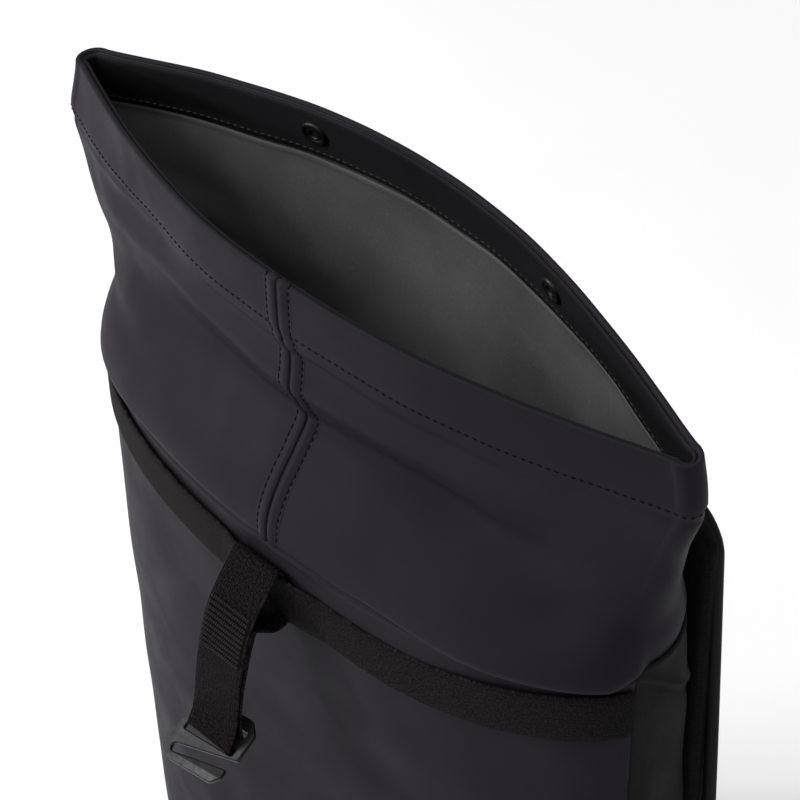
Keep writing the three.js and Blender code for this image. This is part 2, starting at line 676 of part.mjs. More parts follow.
// Shoulder straps, their webbing, adjusters and the tabs at the pad's foot
function buildShoulderStraps() {
  const padHeight = padTop - padFoot;
  const firstOut = padBack + sewnGap + shoulderThick / 2;
  const linePoint = ({ drop, side, out }) =>
    mm(shoulderSpread + side * padHalfWidth, firstOut + out * shoulderOut, padTop - drop * padHeight);
  const line = new THREE.CatmullRomCurve3(shoulderLine.map(linePoint)).getPoints(strapCount);
  const widthAt = (p) => shoulderWidth * rowAt(shoulderLine, "drop", (padTop - p.z) / padHeight).width;
  const widths = line.map(widthAt);
  const end = line.at(-1);
  const along = end.clone().sub(line.at(-2)).normalize();
  const adjusterMiddle = end.clone().addScaledVector(along, adjusterHeight / 2 + sewnGap);
  const tabSpread = padHalfWidth - tabWidth / 2 - tabInset;
  const tabZ = padFoot + padCorner + tabRise + tabHeight / 2;
  const wide = mm(1, 0, 0);
  const outwards = along.clone().cross(wide).normalize();
  const underAdjuster = adjusterThick / 2 + sewnGap + webbingThick / 2;
  const webStart = adjusterMiddle.clone().addScaledVector(outwards, -underAdjuster);
  const onTab = mm(tabSpread, padBack + 2 * sewnGap + tabThick + webbingThick / 2, tabZ);
  const webLine = new THREE.CatmullRomCurve3([
    webStart,
    webStart.clone().addScaledVector(along, adjusterHeight / 2 + webbingLift / 2),
    onTab.clone().add(mm(0, 2 * sewnGap, tabHeight / 2 + webbingLift)),
    onTab,
  ]).getPoints(strapCount);
  for (const [side, sign] of [["left", -1], ["right", 1]]) {
    const flip = (p) => mm(sign * p.x, p.y, p.z);
    addPiece(`shoulder_strap_${side}`, paddedStrapAlong(line.map(flip), wide, widths), padCloth);
    addPiece(`strap_webbing_${side}`, webbingAlong(webLine.map(flip), wide), webCloth);
    const adjuster = addPiece(`strap_adjuster_${side}`, adjusterPlate(), darkPlastic);
    adjuster.position.copy(flip(adjusterMiddle));
    const down = flip(along);
    turnTo(adjuster, wide.clone().addScaledVector(down, -wide.dot(down)).normalize(), down.negate());
    const tab = addPiece(`strap_tab_${side}`, tabPlate(), webCloth);
    tab.position.set(sign * tabSpread, padBack + sewnGap, tabZ);
    tab.rotation.x = Math.PI / 2;
  }
}

// Three-bar adjuster: a plate with two slots for the webbing
function adjusterPlate() {
  const halfWide = adjusterWidth / 2;
  const halfHigh = adjusterHeight / 2;
  const shape = polygon([
    [-halfWide + adjusterChamfer, -halfHigh],
    [halfWide - adjusterChamfer, -halfHigh],
    [halfWide, -halfHigh + adjusterChamfer],
    [halfWide, halfHigh - adjusterChamfer],
    [halfWide - adjusterChamfer, halfHigh],
    [-halfWide + adjusterChamfer, halfHigh],
    [-halfWide, halfHigh - adjusterChamfer],
    [-halfWide, -halfHigh + adjusterChamfer],
  ]);
  const slotAt = (y) => webbingSlot(y - adjusterSlot / 2, y + adjusterSlot / 2);
  shape.holes = [slotAt(-halfHigh / 2), slotAt(halfHigh / 2)];
  return plate(shape, adjusterThick).translate(0, 0, -adjusterThick / 2);
}

function tabPlate() {
  const low = tabHeight / 2;
  const shape = polygon([
    [-tabWidth / 2, -low],
    [tabWidth / 2, -low],
    [webbingWidth / 2, low],
    [-webbingWidth / 2, low],
  ]);
  return plate(shape, tabThick).translate(0, 0, -tabThick);
}

// Grab handle: webbing sewn flat to the pad's rear, standing out between its two ends
function buildHandle() {
  const height = padTop - handleDrop;
  const flat = padBack + sewnGap + webbingThick / 2;
  const points = between(-1, 1, 20).map((t) => {
    const open = Math.max(0, Math.cos((clamp(t / handleOpen, -1, 1) * Math.PI) / 2));
    return mm(t * handleSpread, flat + handleOut * Math.pow(open, handleFullness), height);
  });
  addPiece("grab_handle", webbingAlong(points, mm(0, 0, 1)), webCloth);
}

buildBody();
buildBase();
buildTube();
buildMouth();
buildFrontSeam();
buildBand();
buildHookStrap();
buildHook();
buildSnaps();
buildBackPanel();
buildShoulderStraps();
buildHandle();

// The origin is the middle of the whole bag's footprint, on the ground
const middle = new THREE.Box3().setFromObject(bag, true).getCenter(mm(0, 0, 0));
for (const mesh of bag.children) mesh.position.sub(mm(middle.x, middle.y, 0));

export default bag;
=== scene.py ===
# A rolltop backpack that stands open: coated cloth, dark webbing, a flat metal hook and a padded back

import math

import bpy
import numpy as np
from mathutils import Matrix, Vector


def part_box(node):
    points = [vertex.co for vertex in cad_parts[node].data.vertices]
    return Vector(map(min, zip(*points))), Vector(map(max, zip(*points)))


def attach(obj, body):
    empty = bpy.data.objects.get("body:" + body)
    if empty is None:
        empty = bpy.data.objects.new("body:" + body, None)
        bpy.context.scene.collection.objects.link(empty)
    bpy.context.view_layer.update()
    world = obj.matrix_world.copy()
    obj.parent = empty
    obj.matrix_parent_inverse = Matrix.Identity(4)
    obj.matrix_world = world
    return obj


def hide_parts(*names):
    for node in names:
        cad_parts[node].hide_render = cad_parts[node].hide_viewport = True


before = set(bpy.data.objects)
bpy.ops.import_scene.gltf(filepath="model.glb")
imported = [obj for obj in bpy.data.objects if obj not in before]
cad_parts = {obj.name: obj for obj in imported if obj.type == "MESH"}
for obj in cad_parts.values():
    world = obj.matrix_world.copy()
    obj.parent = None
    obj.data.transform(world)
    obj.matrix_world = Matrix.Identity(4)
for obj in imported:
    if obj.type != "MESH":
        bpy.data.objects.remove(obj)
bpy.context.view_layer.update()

# Lengths are in millimetres in the bag's own frame: y is 0 on the body's middle plane, and the front faces -Y
MM = 0.001
BODY = "root"

# Body
HALF_WIDTH = 156
FRONT_DEPTH = 64  # from the body's middle plane to its front
BACK_DEPTH = 35  # and to its flat back
BACK_CORNER = 35  # how far its rear corners round in from the sides
FRONT_FULLNESS = 2.1  # 2 would make the front half an ellipse, and more makes it squarer
PANEL_WALL = 2
GAP = 0.3  # between two sewn pieces
SEAM_SHARE = 0.982  # of the half width, where the front panel meets each gusset
GUSSET_REACH = 0.62  # of the half width, how far each gusset runs in behind the bag
BASE_TURN_UP = 22
BASE_WALL = 3
BASE_CORNER = 10
BASE_EDGE = 0.8
LIP_PROUD = 1.3  # of the front panel's edge under the fold
LIP_DROP = 4.2  # from the crease to the middle of that lip
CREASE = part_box("front_panel")[1].z / MM
PAD_FRONT = BACK_DEPTH + GAP
Y_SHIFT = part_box("back_panel")[0].y / MM - PAD_FRONT

# Tube and mouth
MOUTH_HALF_WIDTH = 172.5
MOUTH_FRONT_DEPTH = 51
MOUTH_BACK_DEPTH = 38
MOUTH_END_RADIUS = 7
MOUTH_LEAN = 7  # how far forward the mouth stands of the body's middle plane
MOUTH_FRONT_FULLNESS = 1.05
MOUTH_BACK_FULLNESS = 1.2
BACK_RIM_RISE = 17
FRONT_RIM_RISE = 13
CORNER_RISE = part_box("rolltop_tube")[1].z / MM - CREASE - BACK_RIM_RISE
TUBE_WALL = 2
TUCK_DEPTH = 14  # how far the tube reaches down inside the body
TUCK_INSET = PANEL_WALL + GAP
FOLD_HEIGHT = 8
FOLD_PROUD = 1.4  # how far the fold at the tube's foot stands out of the body's front
SAG_PROUD = 6.2  # and where it sags over the body
LEFT_DROP = 6.5  # how much lower that fold lies at its left end
HEM_HEIGHT = 28
HEM_PROUD = 0.5
HEM_STEP = 0.8  # half the height over which the hem comes to stand out
HEM_STITCH = 2.2  # from the hem's foot up to its stitches
FOLD_WALL = 0.15  # share of the wall that is left in the fold at the tube's foot
END_WIDER = 3.5  # how far the tube's left end stands out above its middle
END_KINK = 1.4  # depth of the kink below that
FACING_WALL = 1.6
LINING_WALL = 1
EDGE_ROUND = 0.4  # share of a cloth's thickness by which its cut edges stand out

# Webbing, hook and snaps
WEBBING_WIDTH = 25
WEBBING_THICK = 1.5
WEBBING_GAP = 0.5
BAND_DROP = 9  # from the crease to the band's two upper corners
BAND_SAG = 7  # how much lower its middle hangs
BAND_DROOP = 5.0  # how much lower the band hangs on its right
STRAP_MIDDLE = -4  # x of the hook strap's middle at the hook's bar
STRAP_ASIDE = -2.5  # and how far further aside it starts at the band
STRAP_LENGTH = 90  # from the band's top edge to the end of its loop round the hook's bar
STRAP_OUT = math.radians(31.5)  # how the strap of the solids leans away from upright
HOOK_THICK = 2.5
HOOK_TILT = math.radians(26)  # how far the plate points below level
HOOK_TWIST = math.radians(6)
HOOK_BAR = 5  # between its two slots for the strap
HOOK_SLOT = 3.5
HOOK_TIP_RISE = 1.2  # how far the finger's tip bends up
SNAP_RADIUS = 6.2
SNAP_HOLE = 2.2
SNAP_SPREAD = 67
SNAP_DROP = 14
SNAP_SUNK = 0.2  # how deep the snaps sit in the facing

# Padded back and straps
PAD_THICK = 9
PAD_BACK = PAD_FRONT + PAD_THICK
PAD_HALF_WIDTH = 147
PAD_FLARE = 6  # how much wider each side is at its foot
PAD_CORNER = 26
PAD_TOP = CREASE + 45
SHOULDER_WIDTH = 56
SHOULDER_THICK = 8
SHOULDER_OUT = 44  # how far the straps stand behind the pad
SHOULDER_SPREAD = 50  # x of their upper ends
HANDLE_SPREAD = 46
HANDLE_OUT = 26
HANDLE_DROP = 17
HANDLE_OPEN = 0.72  # share of its length between its two sewn ends
HANDLE_FULLNESS = 0.7  # 1 would make it a cosine, and less makes it rounder
ADJUSTER_WIDTH = 36
ADJUSTER_HEIGHT = 26
ADJUSTER_THICK = 4
ADJUSTER_SLOT = 5
TAB_WIDTH = 34
TAB_HEIGHT = 40
TAB_THICK = 3
TAB_RISE = 6
TAB_INSET = 6
TAB_STITCH = 2.2  # from the tab's edge to its stitches

# Camera: where it looks from, how long its lens is and how far it stands
CAMERA_AZIMUTH = math.radians(45.62)
CAMERA_ELEVATION = math.radians(42.94)
CAMERA_DISTANCE = 1573.3
CAMERA_LENS = 180.9
CAMERA_ASIDE = 10.7
CAMERA_LOWER = -60.36
CAMERA_SENSOR = 36
CAMERA_NEAR = 0.05  # metres

# Sections of the body, from the ground to the crease
BODY_SECTIONS = [
    dict(rise=0.0, width=0.86, front=0.7, corner=0.9),
    dict(rise=0.2, width=0.9, front=0.73, corner=0.7),
    dict(rise=0.45, width=0.95, front=0.77, corner=0.5),
    dict(rise=0.7, width=0.985, front=0.83, corner=0.45),
    dict(rise=0.88, width=0.995, front=0.93, corner=0.7),
    dict(rise=1.0, width=1.0, front=1.0, corner=1.0),
]

# Sections of the tube, from the crease to the rim
TUBE_SECTIONS = [
    dict(rise=0.0, width=1.0, front=1.0, back=1.0, lens=0.0),
    dict(rise=0.08, width=0.99, front=0.98, back=1.0, lens=0.05),
    dict(rise=0.22, width=0.98, front=0.88, back=1.0, lens=0.22),
    dict(rise=0.36, width=0.98, front=0.76, back=1.0, lens=0.45),
    dict(rise=0.5, width=0.985, front=0.79, back=1.05, lens=0.65),
    dict(rise=0.64, width=1.0, front=0.87, back=1.12, lens=0.82),
    dict(rise=0.77, width=1.02, front=0.98, back=1.15, lens=0.93),
    dict(rise=1.0, width=1.0, front=1.0, back=1.0, lens=1.0),
]

# The fold in which the tube's foot turns over the body's edge
FOOT_FOLD = [
    dict(behind=0.87, front=-0.6, sagged=0.35, up=0.06, sag_up=0.0),
    dict(behind=0.78, front=0.7, sagged=0.8, up=0.05, sag_up=-0.45),
    dict(behind=0.61, front=1.5, sagged=1.0, up=0.28, sag_up=-0.1),
    dict(behind=0.35, front=1.3, sagged=0.85, up=0.85, sag_up=0.7),
]

# Dents and bulges of the tube. side: of the half width, from the middle to the right; rise: of its height;
# wide and tall: how far each reaches, as the same shares; slant: rise for each share; out: millimetres
TUBE_FOLDS = [
    dict(side=-0.05, rise=0.7, wide=0.75, tall=0.04, slant=0.0, out=-1.8),
    dict(side=-0.05, rise=0.57, wide=0.7, tall=0.05, slant=0.0, out=2.8),
    dict(side=0.0, rise=0.41, wide=0.6, tall=0.055, slant=0.0, out=-4.4),
    dict(side=0.05, rise=0.17, wide=0.5, tall=0.11, slant=0.0, out=4.0),
    dict(side=-0.45, rise=0.2, wide=0.25, tall=0.14, slant=0.2, out=1.2),
    dict(side=0.5, rise=0.37, wide=0.28, tall=0.075, slant=-0.25, out=-4.5),
    dict(side=0.8, rise=0.2, wide=0.12, tall=0.1, slant=0.4, out=-2.2),
]

# A shoulder strap's middle line, as shares: drop of the pad's height, side of its half width, out of
# SHOULDER_OUT, and width of SHOULDER_WIDTH
SHOULDER_LINE = [
    dict(drop=0.085, side=0.0, out=0.0, width=0.8),
    dict(drop=0.12, side=0.0, out=0.08, width=0.85),
    dict(drop=0.22, side=0.04, out=0.55, width=1.0),
    dict(drop=0.38, side=0.14, out=0.95, width=1.0),
    dict(drop=0.52, side=0.24, out=0.95, width=0.95),
    dict(drop=0.64, side=0.3, out=0.6, width=0.8),
    dict(drop=0.7, side=0.31, out=0.4, width=0.62),
]

# The channels sewn into the padded back. at: from its middle, or above the ground for the level ones
PAD_UPRIGHT = [dict(at=30, wide=4.0), dict(at=118, wide=4.5)]
PAD_LEVEL = [dict(at=130, wide=4.0), dict(at=335, wide=4.0)]
PAD_CHANNEL = 3.6  # their depth
PAD_PRESSURE = 3.0
PAD_FRAMES = 20  # of the simulation that fills the pads

# Lights, in metres: where each is, and the height on the bag's axis at which it aims
LIGHTS = [
    dict(name="key", at=(-1.5, -1.6, 2.2), aim_height=0.35, size=1.2, power=52),
    dict(name="side", at=(-1.9, -1.9, 1.05), aim_height=0.35, size=0.35, power=40),
    dict(name="rear", at=(1.7, 2.4, 1.7), aim_height=0.3, size=1.6, power=26),
    dict(name="top", at=(0.2, -0.5, 2.8), aim_height=0.4, size=2.2, power=38),
]
WORLD_LIGHT = 0.2
FLOOR_REACH = 6
FLOOR_TONES = (0.9, 0.93)

COLUMNS = 600  # points round the tube
ROW_STEP = 2.4  # between its rows
PANEL_STEP = 3.0  # between the points of a body panel
GUSSET_COLUMNS = 60
BASE_COLUMNS = 240
SHOULDER_ROWS = 70
SNAP_SIDES = 48
PIPING_SIDES = 10
BACKWARD = np.array([0.0, 1.0, 0.0])


# Numbers and curves

def lerp(a, b, t):
    return a + (b - a) * t


def smoothstep(x, low, high):
    t = np.clip((x - low) / (high - low), 0, 1)
    return t * t * (3 - 2 * t)


def bell(x, centre, width):
    return np.exp(-(((x - centre) / width) ** 2))


def joined(x, y, z):
    """Points whose coordinates are arrays or single numbers."""
    return np.stack(np.broadcast_arrays(x, y, z), axis=-1)


def between_rows(at, marks, values):
    """Straight steps through the rows of values at marks, at each place of `at`."""
    return np.stack([np.interp(at, marks, column) for column in values.T], axis=-1)


def hermite(xs, ys, x):
    """A smooth curve through the values ys at xs, which may be arrays themselves, at each x."""
    xs = np.asarray(xs, float)
    ys = np.asarray(ys, float)
    x = np.asarray(x, float)
    slope = np.gradient(ys, xs, axis=0)
    i = np.clip(np.searchsorted(xs, x) - 1, 0, len(xs) - 2)
    width = xs[i + 1] - xs[i]
    t = np.clip((x - xs[i]) / width, 0, 1)
    more = (1,) * (ys.ndim - 1)
    t = t.reshape(t.shape + more)
    width = width.reshape(width.shape + more)
    start = (2 * t**3 - 3 * t**2 + 1) * ys[i] + (t**3 - 2 * t**2 + t) * width * slope[i]
    end = (3 * t**2 - 2 * t**3) * ys[i + 1] + (t**3 - t**2) * width * slope[i + 1]
    return start + end


def columns(table, key, at):
    """Each column of a table at values of its key, on smooth curves through its rows."""
    xs = [row[key] for row in table]
    return {name: hermite(xs, [row[name] for row in table], at) for name in table[0]}


def ripple(points, wavelength, amount, seed, stretch=(1, 1, 1)):
    """Soft irregular waves over points: a sum of plane waves in seeded directions."""
    rng = np.random.default_rng(seed)
    total = np.zeros(points.shape[:-1])
    waves = 18
    for _ in range(waves):
        direction = rng.normal(size=3) * stretch
        direction /= np.linalg.norm(direction)
        length = wavelength * rng.uniform(0.7, 1.5)
        total += np.cos(points @ direction * 2 * math.pi / length + rng.uniform(0, 2 * math.pi))
    return total * amount * math.sqrt(2 / waves)


def unit(v):
    return v / np.maximum(np.linalg.norm(v, axis=-1, keepdims=True), 1e-9)


def circles(first, second, sides):
    """Unit circles in the planes of two directions, one for each row of them."""
    angles = np.arange(sides) * 2 * np.pi / sides
    return first[:, None] * np.cos(angles)[None, :, None] + second[:, None] * np.sin(angles)[None, :, None]


def grid_normals(points, closed):
    """Outward normals of a grid of rows upwards and columns round the front from left to right."""
    if closed:
        along = np.roll(points, -1, axis=1) - np.roll(points, 1, axis=1)
    else:
        along = np.gradient(points, axis=1)
    return unit(np.cross(along, np.gradient(points, axis=0)))


# Outlines of the bag. A loop position runs from 0 at the left end through 0.25 in front to 0.5 at the right

def share_at(k):
    return -np.cos(2 * np.pi * k)


def position_at(share):
    return np.arccos(-share) / (2 * np.pi)


def is_front(k):
    return np.mod(k, 1) < 0.5


def rounded_front(s):
    return np.maximum(0, 1 - np.abs(s) ** FRONT_FULLNESS) ** (1 / FRONT_FULLNESS)


def flat_back(s, half_width, corner):
    past = np.maximum(0, (np.abs(s) * half_width - (half_width - corner)) / corner)
    return np.sqrt(np.maximum(0, 1 - past**2))


def lens_share(s, half_width, depth, fullness):
    flank = half_width - MOUTH_END_RADIUS
    x = np.abs(s) * half_width
    loop = np.sqrt(np.maximum(0, MOUTH_END_RADIUS**2 - np.maximum(0, x - flank) ** 2)) / depth
    lens = np.maximum(0, 1 - (x / flank) ** 2) ** fullness
    return np.where(x > flank, loop, lerp(MOUTH_END_RADIUS / depth, 1, lens))


def body_outline(k, rise):
    row = columns(BODY_SECTIONS, "rise", rise)
    s = share_at(k)
    half = HALF_WIDTH * row["width"]
    front = -FRONT_DEPTH * row["front"] * rounded_front(s)
    back = BACK_DEPTH * flat_back(s, half, BACK_CORNER * row["corner"])
    return s * half, np.where(is_front(k), front, back)


def tube_outline(k, rise):
    row = columns(TUBE_SECTIONS, "rise", rise)
    s = share_at(k)
    half = lerp(HALF_WIDTH, MOUTH_HALF_WIDTH, row["lens"]) * row["width"]
    front_depth = lerp(FRONT_DEPTH, MOUTH_FRONT_DEPTH, row["lens"]) * row["front"]
    back_depth = lerp(BACK_DEPTH, MOUTH_BACK_DEPTH, row["lens"]) * row["back"]
    front_lens = lens_share(s, half, front_depth, MOUTH_FRONT_FULLNESS)
    back_lens = lens_share(s, half, back_depth, MOUTH_BACK_FULLNESS)
    front = -front_depth * lerp(rounded_front(s), front_lens, row["lens"])
    back = back_depth * lerp(flat_back(s, half, BACK_CORNER), back_lens, row["lens"])
    return s * half, np.where(is_front(k), front, back) - MOUTH_LEAN * rise


def offset_ring(outline, k, rise, out, z):
    """Points of an outline moved outwards along its normal."""
    step = 2e-3
    x, y = outline(k, rise)
    before = np.stack(outline(k - step, rise))
    after = np.stack(outline(k + step, rise))
    along = after - before
    along /= np.maximum(np.linalg.norm(along, axis=0), 1e-9)
    return joined(x + along[1] * out, y - along[0] * out, z)


def rim_height(k):
    return CORNER_RISE + np.where(is_front(k), FRONT_RIM_RISE, BACK_RIM_RISE) * (1 - share_at(k) ** 2)


def body_ring(k, z, out):
    rise = np.minimum(1, np.asarray(z) / CREASE) + 0 * k
    return offset_ring(body_outline, k, rise, out, z)


def tube_ring(k, rise, out=0):
    return offset_ring(tube_outline, k, rise, out, CREASE + rim_height(k) * rise)


def sag_at(k):
    s = share_at(k)
    return np.where(is_front(k), smoothstep(s, 0.3, 0.7) * (1 - smoothstep(s, 0.94, 1.0)), 0)


def front_at(k):
    return np.where(is_front(k), smoothstep(1 - np.abs(share_at(k)), 0, 0.02), 0)


def left_at(k):
    return front_at(k) * smoothstep(-share_at(k), 0.45, 0.9)


def tube_relief(k, rise, drop, points):
    """How far the tube's cloth stands out of its plain form, by its folds, its hem and soft ripples."""
    s = share_at(k)
    front = front_at(k) * (1 - smoothstep(np.abs(s), 0.9, 0.99))
    out = ripple(points, 70, 0.45, 3) + ripple(points, 28, 0.12, 4)
    out *= smoothstep(rise, 0.02, 0.2)
    for fold in TUBE_FOLDS:
        aside = (s - fold["side"]) / fold["wide"]
        above = (rise - fold["rise"] - fold["slant"] * (s - fold["side"])) / fold["tall"]
        out = out + front * fold["out"] * np.exp(-(aside**2) - above**2)
    end = smoothstep(-s, 0.5, 0.95)
    wider = END_WIDER * smoothstep(rise, 0.3, 0.5) * (1 - smoothstep(rise, 0.75, 1.0))
    kink = END_KINK * bell(rise, 0.2, 0.06)
    out = out + end * (wider - kink)
    hem = HEM_PROUD * (1 - smoothstep(drop, HEM_HEIGHT - HEM_STEP, HEM_HEIGHT + HEM_STEP))
    calm = lerp(0.35, 1, smoothstep(drop, 4, HEM_HEIGHT + 6))
    below_hem = 0.7 * bell(drop - HEM_HEIGHT, 1.5, 2.0)
    stitched = 0.35 * bell(drop - HEM_HEIGHT, -2.0, 0.8)
    return out * calm + hem - below_hem - stitched


def tube_skin(k):
    """The tube's outer skin at loop positions k: its rows upwards, and each row's rise and drop below the
    rim. Also where the rows of the hem and of the fold's top start."""
    rim = rim_height(k)
    rings = [body_ring(k, CREASE - TUCK_DEPTH, -TUCK_INSET), body_ring(k, CREASE + 2 * GAP, -TUCK_INSET)]
    heights = [-TUCK_DEPTH + 0 * k, 2 * GAP + 0 * k]
    for row in FOOT_FOLD:
        turned = lerp(-row["behind"] * TUCK_INSET, row["front"] * FOLD_PROUD, front_at(k))
        out = lerp(turned, row["sagged"] * SAG_PROUD, sag_at(k))
        up = FOLD_HEIGHT * lerp(row["up"], row["sag_up"], sag_at(k)) - LEFT_DROP * left_at(k)
        out = out + left_at(k)
        rings.append(body_ring(k, CREASE + up, out))
        heights.append(up)
    fold_top = len(rings) - 1
    for row in TUBE_SECTIONS[2:6]:
        rings.append(tube_ring(k, row["rise"] + 0 * k))
        heights.append(row["rise"] * rim)
    hem_row = len(rings)
    for drop in (HEM_HEIGHT, HEM_HEIGHT / 2, 1.0):
        rings.append(tube_ring(k, 1 - drop / rim))
        heights.append(rim - drop)
    packed = np.concatenate([np.array(rings), np.array(heights)[..., None]], axis=-1)
    steps = np.linalg.norm(np.diff(packed[..., :3], axis=0), axis=-1).mean(axis=1)
    marks = np.concatenate([[0], np.cumsum(np.maximum(steps, 0.5))])
    at, starts = [], []
    for low, high in zip(marks[:-1], marks[1:]):
        starts.append(sum(len(a) for a in at))
        at.append(np.linspace(low, high, max(2, math.ceil((high - low) / ROW_STEP)), endpoint=False))
    at = np.concatenate([*at, marks[-1:]])
    dense = hermite(marks, packed, at)
    points = dense[..., :3]
    rise = dense[..., 3] / rim
    drop = rim - dense[..., 3]
    return points, rise, drop, starts[hem_row], starts[fold_top]


def relieved_tube(k, closed):
    """The tube's outer skin with its folds: points, normals and the rows where hem and fold top start."""
    points, rise, drop, hem_row, fold_row = tube_skin(k)
    normals = grid_normals(points, closed)
    points = points + normals * tube_relief(k, rise, drop, points)[..., None]
    return points, grid_normals(points, closed), hem_row, fold_row, drop


def body_skin(k, heights):
    points = np.array([body_ring(k, z, 0) for z in heights])
    normals = grid_normals(points, False)
    z = points[..., 2]
    out = ripple(points, 120, 0.7, 11, (1, 1, 0.5)) + ripple(points, 45, 0.2, 12)
    fade = smoothstep(z, BASE_TURN_UP, BASE_TURN_UP + 30) * (1 - smoothstep(z, CREASE - 20, CREASE - 4))
    lip = LIP_PROUD * front_at(k) * bell(z - CREASE, -LIP_DROP, 2.6)
    return points + normals * (out * fade * np.where(is_front(k), 1, 0.5) + lip)[..., None]


# Meshes

def place(points):
    """Millimetres in the bag's frame to metres in the row's."""
    return (np.asarray(points, float) + [0, Y_SHIFT, 0]) * MM


def mesh_piece(name, points, faces, material, replaces=None, uv=None, lined=None):
    """A smooth mesh in the row's frame that rides on the bag. lined: its faces that show the lining cloth."""
    mesh = bpy.data.meshes.new(name)
    mesh.from_pydata(place(points).tolist(), [], [list(map(int, f)) for f in faces])
    mesh.materials.append(material)
    if lined is not None:
        mesh.materials.append(LINING)
        indices = np.zeros(len(faces), int)
        indices[lined] = 1
        mesh.polygons.foreach_set("material_index", indices)
    mesh.polygons.foreach_set("use_smooth", np.ones(len(faces), bool))
    if uv is not None:
        layer = mesh.uv_layers.new(name="UVMap")
        loops = np.zeros(len(mesh.loops), int)
        mesh.loops.foreach_get("vertex_index", loops)
        layer.data.foreach_set("uv", uv[loops].ravel())
    mesh.update()
    obj = bpy.data.objects.new(name, mesh)
    bpy.context.scene.collection.objects.link(obj)
    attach(obj, BODY)
    if replaces:
        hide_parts(replaces)
    return obj


def quads(rows, cols, close_rows=False, close_cols=False):
    """Faces of a grid of points, row by row."""
    r = np.arange(rows if close_rows else rows - 1)[:, None]
    c = np.arange(cols if close_cols else cols - 1)[None, :]
    r2, c2 = (r + 1) % rows, (c + 1) % cols
    faces = np.stack([r * cols + c, r * cols + c2, r2 * cols + c2, r2 * cols + c], axis=-1)
    return faces.reshape(-1, 4)


def grid_border(rows, cols):
    """The numbers of the points round the edge of a grid."""
    index = np.arange(rows * cols).reshape(rows, cols)
    return np.concatenate([index[0, :-1], index[:-1, -1], index[-1, :0:-1], index[:0:-1, 0]])


def closed_cloth(outer, normals, thickness):
    """A solid from an open grid and what lies `thickness` behind it, with rounded edges: its points, its
    faces, and which of the faces are the inner ones."""
    rows, cols, _ = outer.shape
    n = rows * cols
    front = quads(rows, cols)
    border = grid_border(rows, cols)
    flat_outer = outer.reshape(-1, 3)
    flat_inner = (outer - normals * thickness).reshape(-1, 3)
    middle = (flat_outer[border] + flat_inner[border]) / 2
    along = np.roll(middle, -1, axis=0) - np.roll(middle, 1, axis=0)
    away = unit(np.cross(along, normals.reshape(-1, 3)[border]))
    edge = 2 * n + np.arange(len(border))
    next_border = np.roll(border, -1)
    next_edge = np.roll(edge, -1)
    rim_a = np.stack([next_border, border, edge, next_edge], axis=-1)
    rim_b = np.stack([next_edge, edge, border + n, next_border + n], axis=-1)
    points = np.concatenate([flat_outer, flat_inner, middle + away * thickness * EDGE_ROUND])
    faces = np.concatenate([front, front[:, ::-1] + n, rim_a, rim_b])
    return points, faces, np.arange(len(front), 2 * len(front))


def ribbon_grid(line, wide, width, across_count):
    """A flat strip's middle surface along a line of points, its width along `wide`: its grid of points, its
    normals, and each column's share of half the width."""
    along = unit(np.gradient(line, axis=0))
    wide = np.broadcast_to(np.asarray(wide, float), line.shape)
    across = unit(wide - along * (wide * along).sum(axis=-1, keepdims=True))
    out = np.cross(across, along)
    share = np.linspace(-1, 1, across_count)
    width = np.broadcast_to(np.asarray(width, float), (len(line),))
    grid = line[:, None] + across[:, None] * (share[None, :, None] * width[:, None, None] / 2)
    return grid, np.broadcast_to(out[:, None], grid.shape), share


def strip_uv(across, along):
    """Texture places of a closed cloth in millimetres, for both its faces and its edge points."""
    flat = np.stack(np.broadcast_arrays(across, along), axis=-1)
    border = grid_border(*flat.shape[:2])
    flat = flat.reshape(-1, 2)
    return np.concatenate([flat, flat, flat[border]])


def lengths_along(line):
    steps = np.linalg.norm(np.diff(np.asarray(line), axis=0), axis=-1)
    return np.concatenate([[0], np.cumsum(steps)])


def webbing_strip(name, line, wide, node_name, across_count=11):
    """Webbing of even thickness along its middle line."""
    grid, normals, share = ribbon_grid(line, wide, WEBBING_WIDTH, across_count)
    points, faces, _ = closed_cloth(grid + normals * WEBBING_THICK / 2, normals, WEBBING_THICK)
    uv = strip_uv(share * WEBBING_WIDTH / 2, lengths_along(line)[:, None])
    mesh_piece(name, points, faces, WEBBING, node_name, uv)


STITCH_SIDES = 6
STITCH_STEPS = 5
STITCH_START = np.array([[3, 2, 1, 0], [5, 4, 3, 0]])
STITCH_END = np.array([[0, 1, 2, 3], [0, 3, 4, 5]]) + (STITCH_STEPS - 1) * STITCH_SIDES


def stitches(name, rows, material, pitch=3.4, length=2.5, radius=0.32):
    """Rows of single stitches, each a short thread that dips into the cloth at both its ends. rows: pairs of
    a line of points and its normals."""
    points, faces = [], []
    t = np.linspace(0, 1, STITCH_STEPS)
    rise = np.sin(np.pi * t) ** 0.6 * radius * 1.1 - radius * 0.55
    size = radius * (0.55 + 0.45 * np.sin(np.pi * t))
    for line, normals in rows:
        marks = lengths_along(line)
        count = int(marks[-1] / pitch)
        for i in range(count):
            at = (i + 0.5) * marks[-1] / count + (t - 0.5) * length
            middle = between_rows(at, marks, line)
            normal = unit(between_rows(at, marks, normals))
            side = unit(np.cross(unit(np.gradient(middle, axis=0)), normal))
            middle = middle + normal * rise[:, None]
            section = circles(side, normal, STITCH_SIDES) * size[:, None, None]
            start = len(points) * STITCH_STEPS * STITCH_SIDES
            points.append((middle[:, None] + section).reshape(-1, 3))
            faces.append(quads(STITCH_STEPS, STITCH_SIDES, False, True) + start)
            faces.append(STITCH_START + start)
            faces.append(STITCH_END + start)
    mesh_piece(name, np.concatenate(points), np.concatenate(faces), material)


# Materials

def new_material(name):
    material = bpy.data.materials.new(name)
    material.use_nodes = True
    return material, material.node_tree


